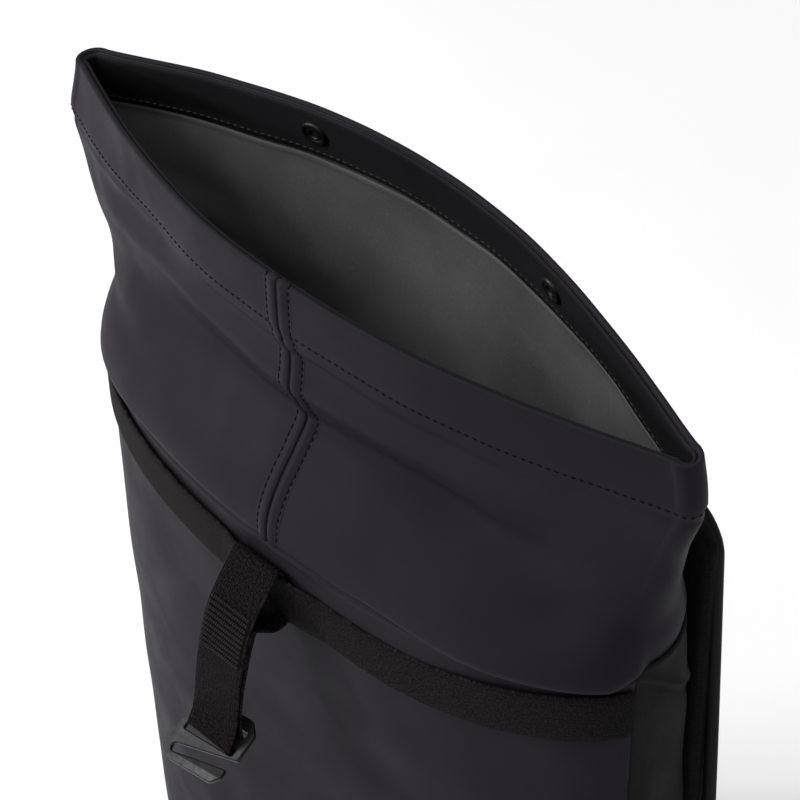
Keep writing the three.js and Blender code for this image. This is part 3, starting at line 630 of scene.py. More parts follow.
def node(tree, kind, values=(), **properties):
    made = tree.nodes.new(kind)
    for key, value in properties.items():
        setattr(made, key, value)
    for key, value in dict(values).items():
        made.inputs[key].default_value = value
    return made


def noise(tree, place, scale, detail=3.0, roughness=0.5):
    made = node(tree, "ShaderNodeTexNoise", {"Scale": scale, "Detail": detail, "Roughness": roughness})
    tree.links.new(place, made.inputs["Vector"])
    return made.outputs["Fac"]


def ramp(tree, fac, low, high, start=0.35, end=0.65):
    made = node(tree, "ShaderNodeValToRGB")
    for element, at, color in zip(made.color_ramp.elements, (start, end), (low, high)):
        element.position = at
        element.color = (*np.broadcast_to(color, 3), 1)
    tree.links.new(fac, made.inputs["Fac"])
    return made.outputs["Color"]


def maths(tree, operation, a, b=None):
    made = node(tree, "ShaderNodeMath", operation=operation)
    for i, value in enumerate(v for v in (a, b) if v is not None):
        if isinstance(value, (int, float)):
            made.inputs[i].default_value = value
        else:
            tree.links.new(value, made.inputs[i])
    return made.outputs[0]


def bump(tree, height, strength, distance, before=None):
    made = node(tree, "ShaderNodeBump", {"Strength": strength, "Distance": distance})
    tree.links.new(height, made.inputs["Height"])
    if before is not None:
        tree.links.new(before, made.inputs["Normal"])
    return made.outputs["Normal"]


def object_place(tree):
    return node(tree, "ShaderNodeTexCoord").outputs["Object"]


def scaled(color, factor):
    return tuple(c * factor for c in color)


def toned(tree, fac, color, low, high):
    return ramp(tree, fac, scaled(color, low), scaled(color, high), 0.3, 0.7)


def mixed(tree, blend, a, b):
    mix = node(tree, "ShaderNodeMix", {"Factor": 1}, data_type="RGBA", blend_type=blend)
    tree.links.new(a, mix.inputs["A"])
    tree.links.new(b, mix.inputs["B"])
    return mix.outputs["Result"]


def connect(tree, color, rough, normal=None, gloss=0.5, metallic=0.0):
    """Gives the shader its colour, roughness and normal, each from a node or as a plain number."""
    inputs = tree.nodes["Principled BSDF"].inputs
    for name, value in (("Base Color", color), ("Roughness", rough), ("Normal", normal)):
        if isinstance(value, float):
            inputs[name].default_value = value
        elif value is not None:
            tree.links.new(value, inputs[name])
    inputs["Specular IOR Level"].default_value = gloss
    inputs["Metallic"].default_value = metallic


def weave_height(tree, place, pitch):
    """The height of a plain weave: threads of two directions that take turns on top."""
    split = node(tree, "ShaderNodeSeparateXYZ")
    tree.links.new(place, split.inputs[0])
    turn = 2 * math.pi / pitch
    a, b = [maths(tree, "SINE", maths(tree, "MULTIPLY", split.outputs[name], turn)) for name in "XZ"]
    return maths(tree, "MULTIPLY", a, b)


def cloth_material(name, color, roughness, weave=None, mottle=0.18, speckle=0.0, gloss=0.22):
    """Cloth with a cloudy tone, a fine grain and, where it shows, a weave."""
    material, tree = new_material(name)
    place = object_place(tree)
    tone = toned(tree, noise(tree, place, 14, 4), color, 1 - mottle, 1 + mottle)
    if speckle:
        flecks = ramp(tree, noise(tree, place, 700, 2, 0.8), 0, scaled(color, speckle), 0.55, 0.8)
        tone = mixed(tree, "ADD", tone, flecks)
    rough = ramp(tree, noise(tree, place, 60, 3), roughness - 0.05, roughness + 0.05, 0.3, 0.7)
    normal = bump(tree, noise(tree, place, 900, 4, 0.7), 0.5, 0.05 * MM)
    if weave:
        normal = bump(tree, weave_height(tree, place, weave * MM), 0.6, 0.12 * MM, normal)
    connect(tree, tone, rough, normal, gloss)
    return material


def webbing_material(name, color, pitch_across=1.25, pitch_along=0.85):
    """Webbing: ribs of warp along it that cross under the weft, from its texture places in millimetres, with
    painted shade darkening the low parts of the weave.
    """
    material, tree = new_material(name)
    place = node(tree, "ShaderNodeTexCoord").outputs["UV"]
    split = node(tree, "ShaderNodeSeparateXYZ")
    tree.links.new(place, split.inputs[0])
    across = maths(tree, "MULTIPLY", split.outputs["X"], 2 * math.pi / pitch_across)
    along = maths(tree, "MULTIPLY", split.outputs["Y"], 2 * math.pi / pitch_along)
    turned = maths(tree, "ADD", along, across)
    other = maths(tree, "SUBTRACT", along, across)
    woven = maths(tree, "MULTIPLY", maths(tree, "SINE", turned), maths(tree, "SINE", other))
    ribs = maths(tree, "COSINE", across)
    height = maths(tree, "ADD", woven, maths(tree, "MULTIPLY", ribs, 0.5))
    spots = noise(tree, place, 0.85, 3, 0.95)
    tone = ramp(tree, spots, scaled(color, 0.3), scaled(color, 3.2), 0.45, 0.6)
    # painted shade: the colour darkens where the weave's height is low, in the hollows between its threads
    painted_weave_shade = ramp(tree, height, 0.45, 1, 0.0, 0.9)
    normal = bump(tree, spots, 0.4, 0.1 * MM, bump(tree, height, 0.9, 0.18 * MM))
    connect(tree, mixed(tree, "MULTIPLY", tone, painted_weave_shade), 0.72, normal, 0.05)
    return material


def mesh_cloth_material(name, color):
    """Open spacer cloth: small round cells, with painted shade darkening their hollows."""
    material, tree = new_material(name)
    cells = node(tree, "ShaderNodeTexVoronoi", {"Scale": 420, "Randomness": 0.35}, feature="SMOOTH_F1")
    tree.links.new(object_place(tree), cells.inputs["Vector"])
    depth = cells.outputs["Distance"]
    # painted shade: the tone darkens towards each cell's middle, where the bump sinks it into a hollow
    tone = ramp(tree, depth, scaled(color, 0.5), scaled(color, 1.5), 0.1, 0.6)
    connect(tree, tone, 0.85, bump(tree, depth, 0.8, 0.5 * MM), 0.08)
    return material


def metal_material(name, color):
    material, tree = new_material(name)
    place = object_place(tree)
    tone = toned(tree, noise(tree, place, 220, 4), color, 0.8, 1.25)
    rough = ramp(tree, noise(tree, place, 400, 4), 0.4, 0.54, 0.3, 0.7)
    connect(tree, tone, rough, bump(tree, noise(tree, place, 1500, 3), 0.25, 0.03 * MM), metallic=0.9)
    return material


def plastic_material(name, color):
    material, tree = new_material(name)
    place = object_place(tree)
    tone = toned(tree, noise(tree, place, 90, 3), color, 0.85, 1.2)
    connect(tree, tone, 0.5, bump(tree, noise(tree, place, 2200, 3), 0.4, 0.04 * MM), 0.25)
    return material


COATED = cloth_material("coated_cloth", (0.0152, 0.0132, 0.0176), 0.5, mottle=0.07, gloss=0.025)
GUSSET = cloth_material("gusset_cloth", (0.0085, 0.0078, 0.008), 0.7, weave=0.9, gloss=0.05)
FACING = cloth_material("facing_cloth", (0.0125, 0.0118, 0.0132), 0.7, weave=0.9, gloss=0.04)
LINING = cloth_material("lining_cloth", (0.092, 0.092, 0.095), 0.7, mottle=0.3, speckle=0.35, gloss=0.1)
PAD = mesh_cloth_material("pad_cloth", (0.004, 0.0038, 0.0041))
PAD_EDGE = cloth_material("pad_edge_cloth", (0.006, 0.0056, 0.006), 0.6, weave=0.8, gloss=0.08)
WEBBING = webbing_material("webbing", (0.0082, 0.0064, 0.0071))
THREAD = cloth_material("thread", (0.004, 0.0038, 0.0045), 0.6, gloss=0.03)
PALE_THREAD = cloth_material("pale_thread", (0.03, 0.029, 0.03), 0.6, gloss=0.05)
WEBBING_THREAD = cloth_material("webbing_thread", (0.0125, 0.0103, 0.011), 0.6, gloss=0.12)
METAL = metal_material("dark_metal", (0.026, 0.025, 0.026))
PLASTIC = plastic_material("dark_plastic", (0.006, 0.006, 0.0065))


# Tube, mouth and seam

RIM_STEPS = 8  # between the rows that turn over the rim


def rim_roll(points, normals, wall):
    """Rows that turn over the rim, from the outer skin's top row to the inner one's."""
    up = unit(points[-1] - points[-2])
    normal = normals[-1]
    centre = points[-1] - normal * wall / 2
    angles = np.linspace(0, np.pi, RIM_STEPS + 1)[1:-1]
    return [centre + (normal * math.cos(a) + up * math.sin(a)) * wall / 2 for a in angles]


def build_tube():
    k = np.arange(COLUMNS) / COLUMNS
    points, normals, hem_row, fold_row, drop = relieved_tube(k, True)
    wall = TUBE_WALL + HEM_PROUD * (drop < HEM_HEIGHT)
    wall = wall * lerp(FOLD_WALL, 1, smoothstep(points[..., 2] - CREASE, FOLD_HEIGHT, 3 * FOLD_HEIGHT))
    inner = (points - normals * wall[..., None])[::-1]
    rings = np.concatenate([points, rim_roll(points, normals, wall[-1, 0]), inner])
    first_inner = (len(points) + RIM_STEPS - 1) * COLUMNS
    last_inner = first_inner + (len(points) - fold_row - 5) * COLUMNS
    tube = mesh_piece("rolltop_tube_cloth", rings.reshape(-1, 3), quads(len(rings), COLUMNS, True, True),
                      COATED, "rolltop_tube", lined=np.arange(first_inner, last_inner))
    build_ring("mouth_facing_cloth", points, normals, hem_row, len(points), FACING_WALL, FACING,
               "mouth_facing")
    build_ring("lining_cloth_piece", points, normals, fold_row, hem_row, LINING_WALL, LINING,
               "lining")
    hem_line = hem_row + int(np.argmin(np.abs(drop[hem_row:, 0] - HEM_HEIGHT + HEM_STITCH)))
    closed = np.append(np.arange(COLUMNS), 0)
    line = points[hem_line, closed]
    out = normals[hem_line, closed]
    stitches("hem_stitches", [(line, out)], THREAD)
    inside = TUBE_WALL + HEM_PROUD + GAP + FACING_WALL
    stitches("facing_stitches", [(line - out * inside, -out)], PALE_THREAD)
    return k, points, normals, hem_row, drop


def build_ring(name, points, normals, low, high, thickness, material, node_name):
    """A ring of cloth inside the tube, between two of its rows."""
    at_rim = high == len(points)
    near = TUBE_WALL + GAP + (HEM_PROUD if at_rim else 0)
    chosen = slice(low, high) if at_rim else slice(low + 1, high)
    outer = points[chosen] - normals[chosen] * near
    inner = outer - normals[chosen] * thickness
    edge_low = (outer[0] + inner[0]) / 2 - unit(outer[1] - outer[0]) * thickness * EDGE_ROUND
    edge_high = (outer[-1] + inner[-1]) / 2 + unit(outer[-1] - outer[-2]) * thickness * EDGE_ROUND
    rings = np.concatenate([outer, [edge_high], inner[::-1], [edge_low]])
    faces = quads(len(rings), COLUMNS, True, True)
    piece = mesh_piece(name, rings.reshape(-1, 3), faces, material, node_name)


SEAM_HALF = 7.2
SEAM_STITCH = 5.6
SEAM_PROUD = 0.35
SEAM_WALL = 0.8
SEAM_EDGE = 0.5  # how much lower its edges lie

# The seam's lobes, its groove and the line of its stitches. aside: from its middle
SEAM_RELIEF = [
    dict(aside=2.4, wide=2.0, out=0.75),
    dict(aside=0.0, wide=0.45, out=-1.0),
    dict(aside=SEAM_STITCH, wide=0.7, out=-0.35),
]


def build_front_seam():
    """The tube's centre seam: two soft lobes with a fine groove between them and a row of stitches each."""
    across = np.linspace(-1, 1, 61) * SEAM_HALF
    aside = np.abs(across)
    k = position_at(0) + across / (2 * math.pi * HALF_WIDTH)
    points, normals, _, fold_row, _ = relieved_tube(k, False)
    height = SEAM_PROUD
    for row in SEAM_RELIEF:
        height = height + row["out"] * bell(aside, row["aside"], row["wide"])
    height = height - SEAM_EDGE * smoothstep(aside, SEAM_STITCH + 0.4, SEAM_HALF)
    start = fold_row - 3
    outer = points[start:] + normals[start:] * height[None, :, None]
    wall = TUBE_WALL + HEM_PROUD
    over = np.array(rim_roll(points, normals, wall))
    away = unit(over - (points[-1] - normals[-1] * wall / 2))
    over = over + away * (height * 0.8)[None, :, None]
    skin = np.concatenate([outer, over[: RIM_STEPS // 2 + 2]])
    skin_normals = grid_normals(skin, False)
    solid, faces, _ = closed_cloth(skin, skin_normals, SEAM_WALL)
    mesh_piece("front_seam_cloth", solid, faces, COATED, "front_seam")
    rows = []
    for side in (-1, 1):
        column = int(np.argmin(np.abs(across - side * SEAM_STITCH)))
        rows.append((skin[2:, column], skin_normals[2:, column]))
    stitches("front_seam_stitches", rows, THREAD)


# Body

def panel_piece(name, k, material, node_name, relief=None):
    low = BASE_TURN_UP + GAP
    high = CREASE - 14
    heights = np.linspace(low, high, int((high - low) / PANEL_STEP), endpoint=False)
    points = body_skin(k, np.concatenate([heights, np.linspace(high, CREASE, 15)]))
    normals = grid_normals(points, False)
    if relief is not None:
        points = points + normals * relief(k, points)[..., None]
        normals = grid_normals(points, False)
    solid, faces, inside = closed_cloth(points, normals, PANEL_WALL)
    piece = mesh_piece(name, solid, faces, material, node_name, lined=inside)


def gusset_relief(k, points):
    """Slack cloth: long upright waves and one slanting fold below the crease."""
    z = points[..., 2]
    aside = points[..., 1] - 8
    waves = ripple(points, 60, 0.9, 21, (0.3, 1, 0.25))
    above = z - (CREASE - 18 - 0.9 * aside)
    fold = 2.6 * bell(above, 0, 3.5) - 1.8 * bell(above, -8, 4)
    fade = smoothstep(z, BASE_TURN_UP, BASE_TURN_UP + 40) * (1 - smoothstep(z, CREASE - 10, CREASE))
    return (waves + fold * bell(aside, 0, 22)) * fade


def build_body():
    seam = position_at(-SEAM_SHARE)
    count = int(2 * HALF_WIDTH / PANEL_STEP * 1.2)
    front = np.linspace(seam, 0.5 - seam, count)
    panel_piece("front_panel_cloth", front, COATED, "front_panel")
    gap = GAP / (2 * math.pi * HALF_WIDTH * math.sqrt(1 - SEAM_SHARE**2))
    gusset_end = position_at(-GUSSET_REACH)
    left = np.linspace(-gusset_end, seam - gap, GUSSET_COLUMNS)
    right = np.linspace(0.5 - seam + gap, 0.5 + gusset_end, GUSSET_COLUMNS)
    for side, k in (("left", left), ("right", right)):
        panel_piece(f"gusset_{side}_cloth", k, GUSSET, f"side_gusset_{side}", gusset_relief)


def build_base():
    k = np.arange(BASE_COLUMNS) / BASE_COLUMNS
    turn = np.linspace(0, np.pi / 2, 7)
    inset = BASE_CORNER * (1 - np.sin(turn))
    z = BASE_CORNER * (1 - np.cos(turn))
    profile = list(zip(inset, z)) + [(0, 16), (0, BASE_TURN_UP - BASE_EDGE), (BASE_EDGE, BASE_TURN_UP)]
    profile += [(BASE_WALL - BASE_EDGE, BASE_TURN_UP), (BASE_WALL, BASE_TURN_UP - BASE_EDGE)]
    scale = (BASE_CORNER - BASE_WALL) / BASE_CORNER
    inner = [(BASE_CORNER - (BASE_CORNER - i) * scale, BASE_CORNER - (BASE_CORNER - h) * scale)
             for i, h in zip(inset, z)]
    profile += inner[::-1]
    rings = [body_ring(k, h, -i) for i, h in profile]
    middle = np.array([0, rings[-1][:, 1].mean(), 0])
    shares = np.linspace(1, 0, 14)[1:-1]
    inside = [middle + (rings[-1] - middle) * [t, t, 1] for t in shares]
    below = [middle + (rings[0] - middle) * [t, t, 1] for t in shares][::-1]
    floors = [middle + [0, 0, rings[0][0, 2]], middle + [0, 0, rings[-1][0, 2]]]
    rings = np.array(below + rings + inside)
    faces = [list(f) for f in quads(len(rings), BASE_COLUMNS, False, True)]
    low = rings.shape[0] * BASE_COLUMNS
    last = low - BASE_COLUMNS
    for i in range(BASE_COLUMNS):
        n = (i + 1) % BASE_COLUMNS
        faces.append([n, i, low])
        faces.append([last + i, last + n, low + 1])
    points = np.concatenate([rings.reshape(-1, 3), floors])
    base = mesh_piece("base_cloth", points, faces, GUSSET, "base_panel")


# Front band, hook strap and hook

STRAP_ROOM = WEBBING_THICK + 2 * WEBBING_GAP


def band_top(k):
    s = share_at(k)
    return CREASE - BAND_DROP - BAND_SAG * (1 - s**2) - BAND_DROOP * bell(s, 0.5, 0.3)


def band_out(k):
    away = np.abs(share_at(k) - STRAP_MIDDLE / HALF_WIDTH) - WEBBING_WIDTH / 2 / HALF_WIDTH
    return lerp(STRAP_ROOM, WEBBING_GAP, smoothstep(away, 0.01, 0.12))


def build_band():
    seam = position_at(-SEAM_SHARE)
    k = np.linspace(seam, 0.5 - seam, 420)
    top = band_top(k)
    shares = np.linspace(1, 0, 13)
    skin = np.array([body_ring(k, top - WEBBING_WIDTH * share, 0) for share in shares])
    normals = grid_normals(skin, False)
    wave = ripple(skin, 60, 0.25, 31)
    edge = 0.25 * np.abs(2 * shares - 1)[:, None] ** 6
    outer = skin + normals * (band_out(k)[None, :] + WEBBING_THICK + wave * 0.5 - edge)[..., None]
    points, faces, _ = closed_cloth(outer, normals, WEBBING_THICK)
    uv = strip_uv((0.5 - shares)[:, None] * WEBBING_WIDTH, lengths_along(outer[6]))
    mesh_piece("front_band_webbing", points, faces, WEBBING, "front_band", uv)


def strap_start():
    """Where the hook strap's middle line starts at the band's top, and where it leaves the band below."""
    k = position_at(STRAP_MIDDLE / HALF_WIDTH)
    top = CREASE - BAND_DROP - BAND_SAG * (1 - share_at(k) ** 2)
    out = STRAP_ROOM + WEBBING_THICK / 2
    start = body_ring(np.array([k]), top, out)[0][1:]
    under = body_ring(np.array([k]), top - WEBBING_WIDTH, out)[0][1:]
    return start, under


STRAP_LEAN = [
    dict(down=0.0, lean=52.0),
    dict(down=16.0, lean=44.0),
    dict(down=28.0, lean=25.0),
    dict(down=45.0, lean=15.0),
    dict(down=62.0, lean=10.0),
    dict(down=87.0, lean=7.0),
]
BAR_ROOM = math.hypot(HOOK_BAR, HOOK_THICK) / 2 + WEBBING_GAP
BAR_DOWN = STRAP_LENGTH - BAR_ROOM
BLOCK_START = 23  # how far down the strap its sewn block starts
BLOCK_END = 45  # and ends


def hook_bar():
    """Where the hook's bar lies across the bag: the solids' strap leaves the band and leans out evenly."""
    start, under = strap_start()
    along = unit(under - start)
    leaning = np.array([-math.sin(STRAP_OUT), -math.cos(STRAP_OUT)])
    straight = WEBBING_WIDTH + WEBBING_GAP
    return start + along * straight + leaning * (BAR_DOWN - straight)


def band_point(down, out):
    """A point beside the band, `down` from its top and `out` in front of the strap's middle line there."""
    start, under = strap_start()
    along = unit(under - start)
    return start + along * down + np.array([along[1], -along[0]]) * out


def strap_curve():
    """The strap's middle line from the band's top to the hook's bar, and its directions."""
    down = np.linspace(0, BAR_DOWN, 200)
    lean = np.radians(columns(STRAP_LEAN, "down", down)["lean"])
    steps = np.stack([-np.sin(lean), -np.cos(lean)], axis=-1) * (down[1] - down[0])
    path = np.cumsum(np.concatenate([[[0, 0]], (steps[1:] + steps[:-1]) / 2]), axis=0)
    start = strap_start()[0]
    wanted = hook_bar() - start
    reached = path[-1]
    turn = math.atan2(wanted[1], wanted[0]) - math.atan2(reached[1], reached[0])
    scale = np.linalg.norm(wanted) / np.linalg.norm(reached)
    c = math.cos(turn) * scale
    s = math.sin(turn) * scale
    path = start + path @ np.array([[c, s], [-s, c]])
    return down, path, unit(np.gradient(path, axis=0))


CURVE_DOWN, CURVE_PATH, CURVE_ALONG = strap_curve()


def strap_point(down, out):
    """A point of the plane across the bag, `down` along the strap's middle line and `out` in front of it."""
    along = unit(between_rows(down, CURVE_DOWN, CURVE_ALONG))
    path = between_rows(down, CURVE_DOWN, CURVE_PATH) + along * (down - min(max(down, 0), BAR_DOWN))
    return path + np.array([along[1], -along[0]]) * out


def strap_side(z):
    """How far the strap's middle lies aside at a height, as it hangs a little askew."""
    top = strap_start()[0][1]
    share = np.clip((top - z) / (top - hook_bar()[1]), 0, 1)
    return STRAP_MIDDLE + STRAP_ASIDE * (1 - share)


def build_hook_strap():
    """One length of webbing: from the sewn block up behind the band, over it, down, round the hook's bar and
    back up to the block."""
    half = WEBBING_THICK / 2
    loop = WEBBING_THICK + WEBBING_GAP
    low = WEBBING_WIDTH + WEBBING_GAP
    path = [strap_point(d, -half * 1.05) for d in (BLOCK_END, BLOCK_START + 10, BLOCK_START + 5)]
    path += [band_point(low + 1.8, 5), band_point(low + 1.6, 1), band_point(low + 0.3, -loop * 0.8)]
    path += [band_point(d, -loop) for d in (low - 4, 12, 2)]
    path += [band_point(-1.2, -loop * 0.6), band_point(-2.4, 0.8), band_point(-2.2, 3.0)]
    path += [strap_point(d, half + o) for d, o in ((2.5, 2.2), (6, 1.6), (12, 0.8), (18, 0.2))]
    path += [strap_point(d, half * 1.05) for d in (BLOCK_START, 30, 37, BLOCK_END, 55, 65, 74)]
    radius = BAR_ROOM + half
    angles = np.linspace(0.3, 0.99, 9) * np.pi
    for side, turn in ((1, angles), (-1, angles[-2::-1])):
        path += [strap_point(BAR_DOWN - radius * math.cos(a), side * radius * math.sin(a)) for a in turn]
    path += [strap_point(d, -half * o) for d, o in ((74, 2.4), (60, 1.9), (BLOCK_END + 3, 3.0))]
    path += [strap_point(d, -half * 3.2) for d in (BLOCK_END - 5, BLOCK_START + 4)]
    path = np.array(path)
    marks = lengths_along(path)
    fine = hermite(marks, path, np.arange(0, marks[-1], 0.8))
    line = joined(strap_side(fine[:, 1]), fine[:, 0], fine[:, 1])
    webbing_strip("hook_strap_webbing", line, (-1, 0, 0), "hook_strap", 13)
    rows = []
    for down in np.linspace(BLOCK_START - 1, BLOCK_END - 1, 10):
        here = strap_point(down, half * 2.1)
        along = unit(strap_point(down + 1, half * 2.1) - here)
        xs = np.linspace(-WEBBING_WIDTH / 2 + 1.2, WEBBING_WIDTH / 2 - 1.2, 20) + strap_side(here[1])
        row = joined(xs, here[0], here[1])
        rows.append((row, np.broadcast_to([0, along[1], -along[0]], row.shape)))
    stitches("hook_strap_stitches", rows, WEBBING_THREAD, 1.25, 1.7, 0.95)


# The hook's outline, in its own plane: x along the bag, y from its bar to its tip. round: corner radius
HOOK_OUTLINE = [
    dict(x=-12.0, y=-11.5, round=2.5),
    dict(x=12.0, y=-11.5, round=2.5),
    dict(x=17.0, y=-6.5, round=2.5),
    dict(x=17.0, y=6.6, round=1.2),
    dict(x=-13.8, y=13.1, round=1.9),
    dict(x=-12.9, y=16.9, round=1.9),
    dict(x=15.2, y=12.0, round=0.9),
    dict(x=15.6, y=16.5, round=1.6),
    dict(x=12.0, y=20.3, round=3.2),
    dict(x=-12.0, y=20.3, round=3.0),
    dict(x=-17.0, y=15.3, round=3.0),
    dict(x=-17.0, y=-6.5, round=2.5),
]
HOOK_BEVEL = 0.55


def rounded_polygon(corners, steps=6):
    """Points of a closed outline whose corners are arcs."""
    corners = [(np.array([c["x"], c["y"]], float), c["round"]) for c in corners]
    points = []
    for i, (corner, radius) in enumerate(corners):
        before = unit(corners[i - 1][0] - corner)
        after = unit(corners[(i + 1) % len(corners)][0] - corner)
        angle = math.acos(float(np.clip(before @ after, -1, 1)))
        reach = radius / math.tan(angle / 2)
        start, end = corner + before * reach, corner + after * reach
        centre = corner + unit(before + after) * radius / math.sin(angle / 2)
        for t in np.linspace(0, 1, steps):
            point = lerp(start, end, t) - centre
            points.append(centre + unit(point) * radius)
    return np.array(points)


def slot_outline(y_low, y_high):
    half = WEBBING_WIDTH / 2 + 1
    spots = [(-half, y_low), (half, y_low), (half, y_high), (-half, y_high)]
    return rounded_polygon([dict(x=x, y=y, round=0.9) for x, y in spots], 4)


def evaluated_mesh(obj):
    """A mesh of the object as its modifiers or its curve make it."""
    return bpy.data.meshes.new_from_object(obj.evaluated_get(bpy.context.evaluated_depsgraph_get()))


def plate_mesh(outlines, thickness, bevel):
    """Points and faces of a flat plate with holes and rounded edges, from a filled curve."""
    curve = bpy.data.curves.new("plate", "CURVE")
    curve.dimensions = "2D"
    curve.fill_mode = "BOTH"
    curve.extrude = thickness / 2 - bevel
    curve.bevel_depth = bevel
    curve.bevel_resolution = 2
    curve.offset = -bevel
    for outline in outlines:
        spline = curve.splines.new("POLY")
        spline.points.add(len(outline) - 1)
        for point, (x, y) in zip(spline.points, outline):
            point.co = (x, y, 0, 1)
        spline.use_cyclic_u = True
    holder = bpy.data.objects.new("plate", curve)
    bpy.context.scene.collection.objects.link(holder)
    bpy.context.view_layer.update()
    mesh = evaluated_mesh(holder)
    points = np.array([v.co for v in mesh.vertices])
    faces = [list(p.vertices) for p in mesh.polygons]
    bpy.data.objects.remove(holder)
    bpy.data.curves.remove(curve)
    bpy.data.meshes.remove(mesh)
    return points, faces


def set_smooth_by_angle(obj, degrees=35):
    """Sharp edges stay sharp: only the edges flatter than this are smooth."""
    obj.data.set_sharp_from_angle(angle=math.radians(degrees))


def build_hook():
    rear = slot_outline(-HOOK_BAR / 2 - HOOK_SLOT, -HOOK_BAR / 2)
    fore = slot_outline(HOOK_BAR / 2, HOOK_BAR / 2 + HOOK_SLOT)
    points, faces = plate_mesh([rounded_polygon(HOOK_OUTLINE), rear, fore], HOOK_THICK, HOOK_BEVEL)
    x, y, z = points.T
    tip = np.exp(-(((x - 15.5) / 4.5) ** 2) - ((y - 16.5) / 4.5) ** 2)
    z = z + HOOK_TIP_RISE * tip
    c = math.cos(-HOOK_TWIST)
    s = math.sin(-HOOK_TWIST)
    bar = hook_bar()
    forward = np.array([0, -math.cos(HOOK_TILT), -math.sin(HOOK_TILT)])
    upward = np.array([0, -math.sin(HOOK_TILT), math.cos(HOOK_TILT)])
    solid = (np.array([STRAP_MIDDLE, bar[0], bar[1]]) + (x * c - y * s)[:, None] * [1, 0, 0]
             + (x * s + y * c)[:, None] * forward + z[:, None] * upward)
    flipped = [face[::-1] for face in faces]
    set_smooth_by_angle(mesh_piece("hook_plate", solid, flipped, METAL, "hook"))


# Snaps

RING_PROFILE = [
    (SNAP_RADIUS, 0.0), (SNAP_RADIUS, 0.7), (SNAP_RADIUS - 0.35, 1.25), (SNAP_RADIUS - 1.2, 1.55),
    (SNAP_RADIUS - 2.1, 1.3), (SNAP_HOLE + 1.5, 0.95), (SNAP_HOLE + 0.9, 1.2), (SNAP_HOLE + 0.25, 1.15),
    (SNAP_HOLE, 0.7), (SNAP_HOLE, 0.05),
]
STUD_PROFILE = [
    (SNAP_RADIUS, 0.0), (SNAP_RADIUS, 0.6), (SNAP_RADIUS - 0.4, 1.1), (SNAP_RADIUS - 1.4, 1.25),
    (SNAP_RADIUS - 2.4, 0.9), (2.6, 0.9), (2.1, 1.3), (2.0, 2.2), (1.6, 2.9), (0.6, 3.1), (0.01, 3.1),
]


def turned_solid(profile, seat, axis):
    """Points and faces of a turned piece that stands on a seat."""
    axis = unit(axis)
    side = unit(np.cross(axis, [0, 0, 1]))
    ring = circles(side[None], np.cross(axis, side)[None], SNAP_SIDES)[0]
    points = np.concatenate([seat + ring * radius + axis * height for radius, height in profile])
    return points, quads(len(profile), SNAP_SIDES, True, True)[:, ::-1]


def build_snaps(k, points, normals, hem_row, drop):
    row = hem_row + int(np.argmin(np.abs(drop[hem_row:, 0] - SNAP_DROP)))
    depth = TUBE_WALL + HEM_PROUD + GAP + FACING_WALL - SNAP_SUNK
    for side, sign in (("left", -1), ("right", 1)):
        at = float(position_at(sign * SNAP_SPREAD / MOUTH_HALF_WIDTH))
        for name, profile, where in (("snap", RING_PROFILE, 1 - at), ("snap_stud", STUD_PROFILE, at)):
            column = int(round(where * len(k))) % len(k)
            out = normals[row, column]
            solid, faces = turned_solid(profile, points[row, column] - out * depth, -out)
            piece = mesh_piece(f"{name}_{side}_metal", solid, faces, METAL, f"{name}_{side}")
            set_smooth_by_angle(piece, 50)


# Padded back, shoulder straps and handle

def pad_outline(inset, samples=22):
    radius = PAD_CORNER - inset
    quarter = np.linspace(0, np.pi / 2, samples // 2)
    corners = ((PAD_HALF_WIDTH - PAD_CORNER, PAD_TOP - PAD_CORNER, 0),
               (PAD_HALF_WIDTH + PAD_FLARE - PAD_CORNER, PAD_CORNER, np.pi / 2))
    right = np.concatenate([
        np.stack([x + radius * np.sin(start + quarter), z + radius * np.cos(start + quarter)], axis=-1)
        for x, z, start in corners
    ])
    return np.concatenate([right, right[::-1] * [-1, 1]])


def vertex_places(mesh):
    places = np.zeros(len(mesh.vertices) * 3)
    mesh.vertices.foreach_get("co", places)
    return places.reshape(-1, 3)


def simulate_pad(points, faces, voxel, cap):
    """Blows a closed mesh up a little as stuffed cloth, by `cap` at most: its new points and faces."""
    mesh = bpy.data.meshes.new("pad")
    mesh.from_pydata((np.asarray(points) * MM).tolist(), [], [list(map(int, f)) for f in faces])
    obj = bpy.data.objects.new("pad", mesh)
    scene = bpy.context.scene
    scene.collection.objects.link(obj)
    bpy.context.view_layer.objects.active = obj
    remesh = obj.modifiers.new("remesh", "REMESH")
    remesh.mode = "VOXEL"
    remesh.voxel_size = voxel * MM
    even = evaluated_mesh(obj)
    obj.modifiers.clear()
    obj.data = even
    before = vertex_places(even)
    cloth = obj.modifiers.new("cloth", "CLOTH")
    cloth.settings.use_pressure = True
    cloth.settings.uniform_pressure_force = PAD_PRESSURE
    cloth.settings.quality = 4
    cloth.settings.effector_weights.gravity = 0
    cloth.point_cache.frame_start = 1
    cloth.point_cache.frame_end = PAD_FRAMES
    for number in range(1, PAD_FRAMES + 1):
        scene.frame_set(number)
    after = vertex_places(obj.evaluated_get(bpy.context.evaluated_depsgraph_get()).data)
    obj.modifiers.clear()
    scene.frame_set(1)
    move = after - before
    length = np.linalg.norm(move, axis=-1, keepdims=True)
    move *= np.minimum(1, cap * MM / np.maximum(length, 1e-9))
    even.vertices.foreach_set("co", (before + move).ravel())
    finer = obj.modifiers.new("finer", "SUBSURF")
    finer.levels = 1
    smooth = evaluated_mesh(obj)
    result_faces = [list(p.vertices) for p in smooth.polygons]
    bpy.data.objects.remove(obj)
    return vertex_places(smooth) / MM, result_faces


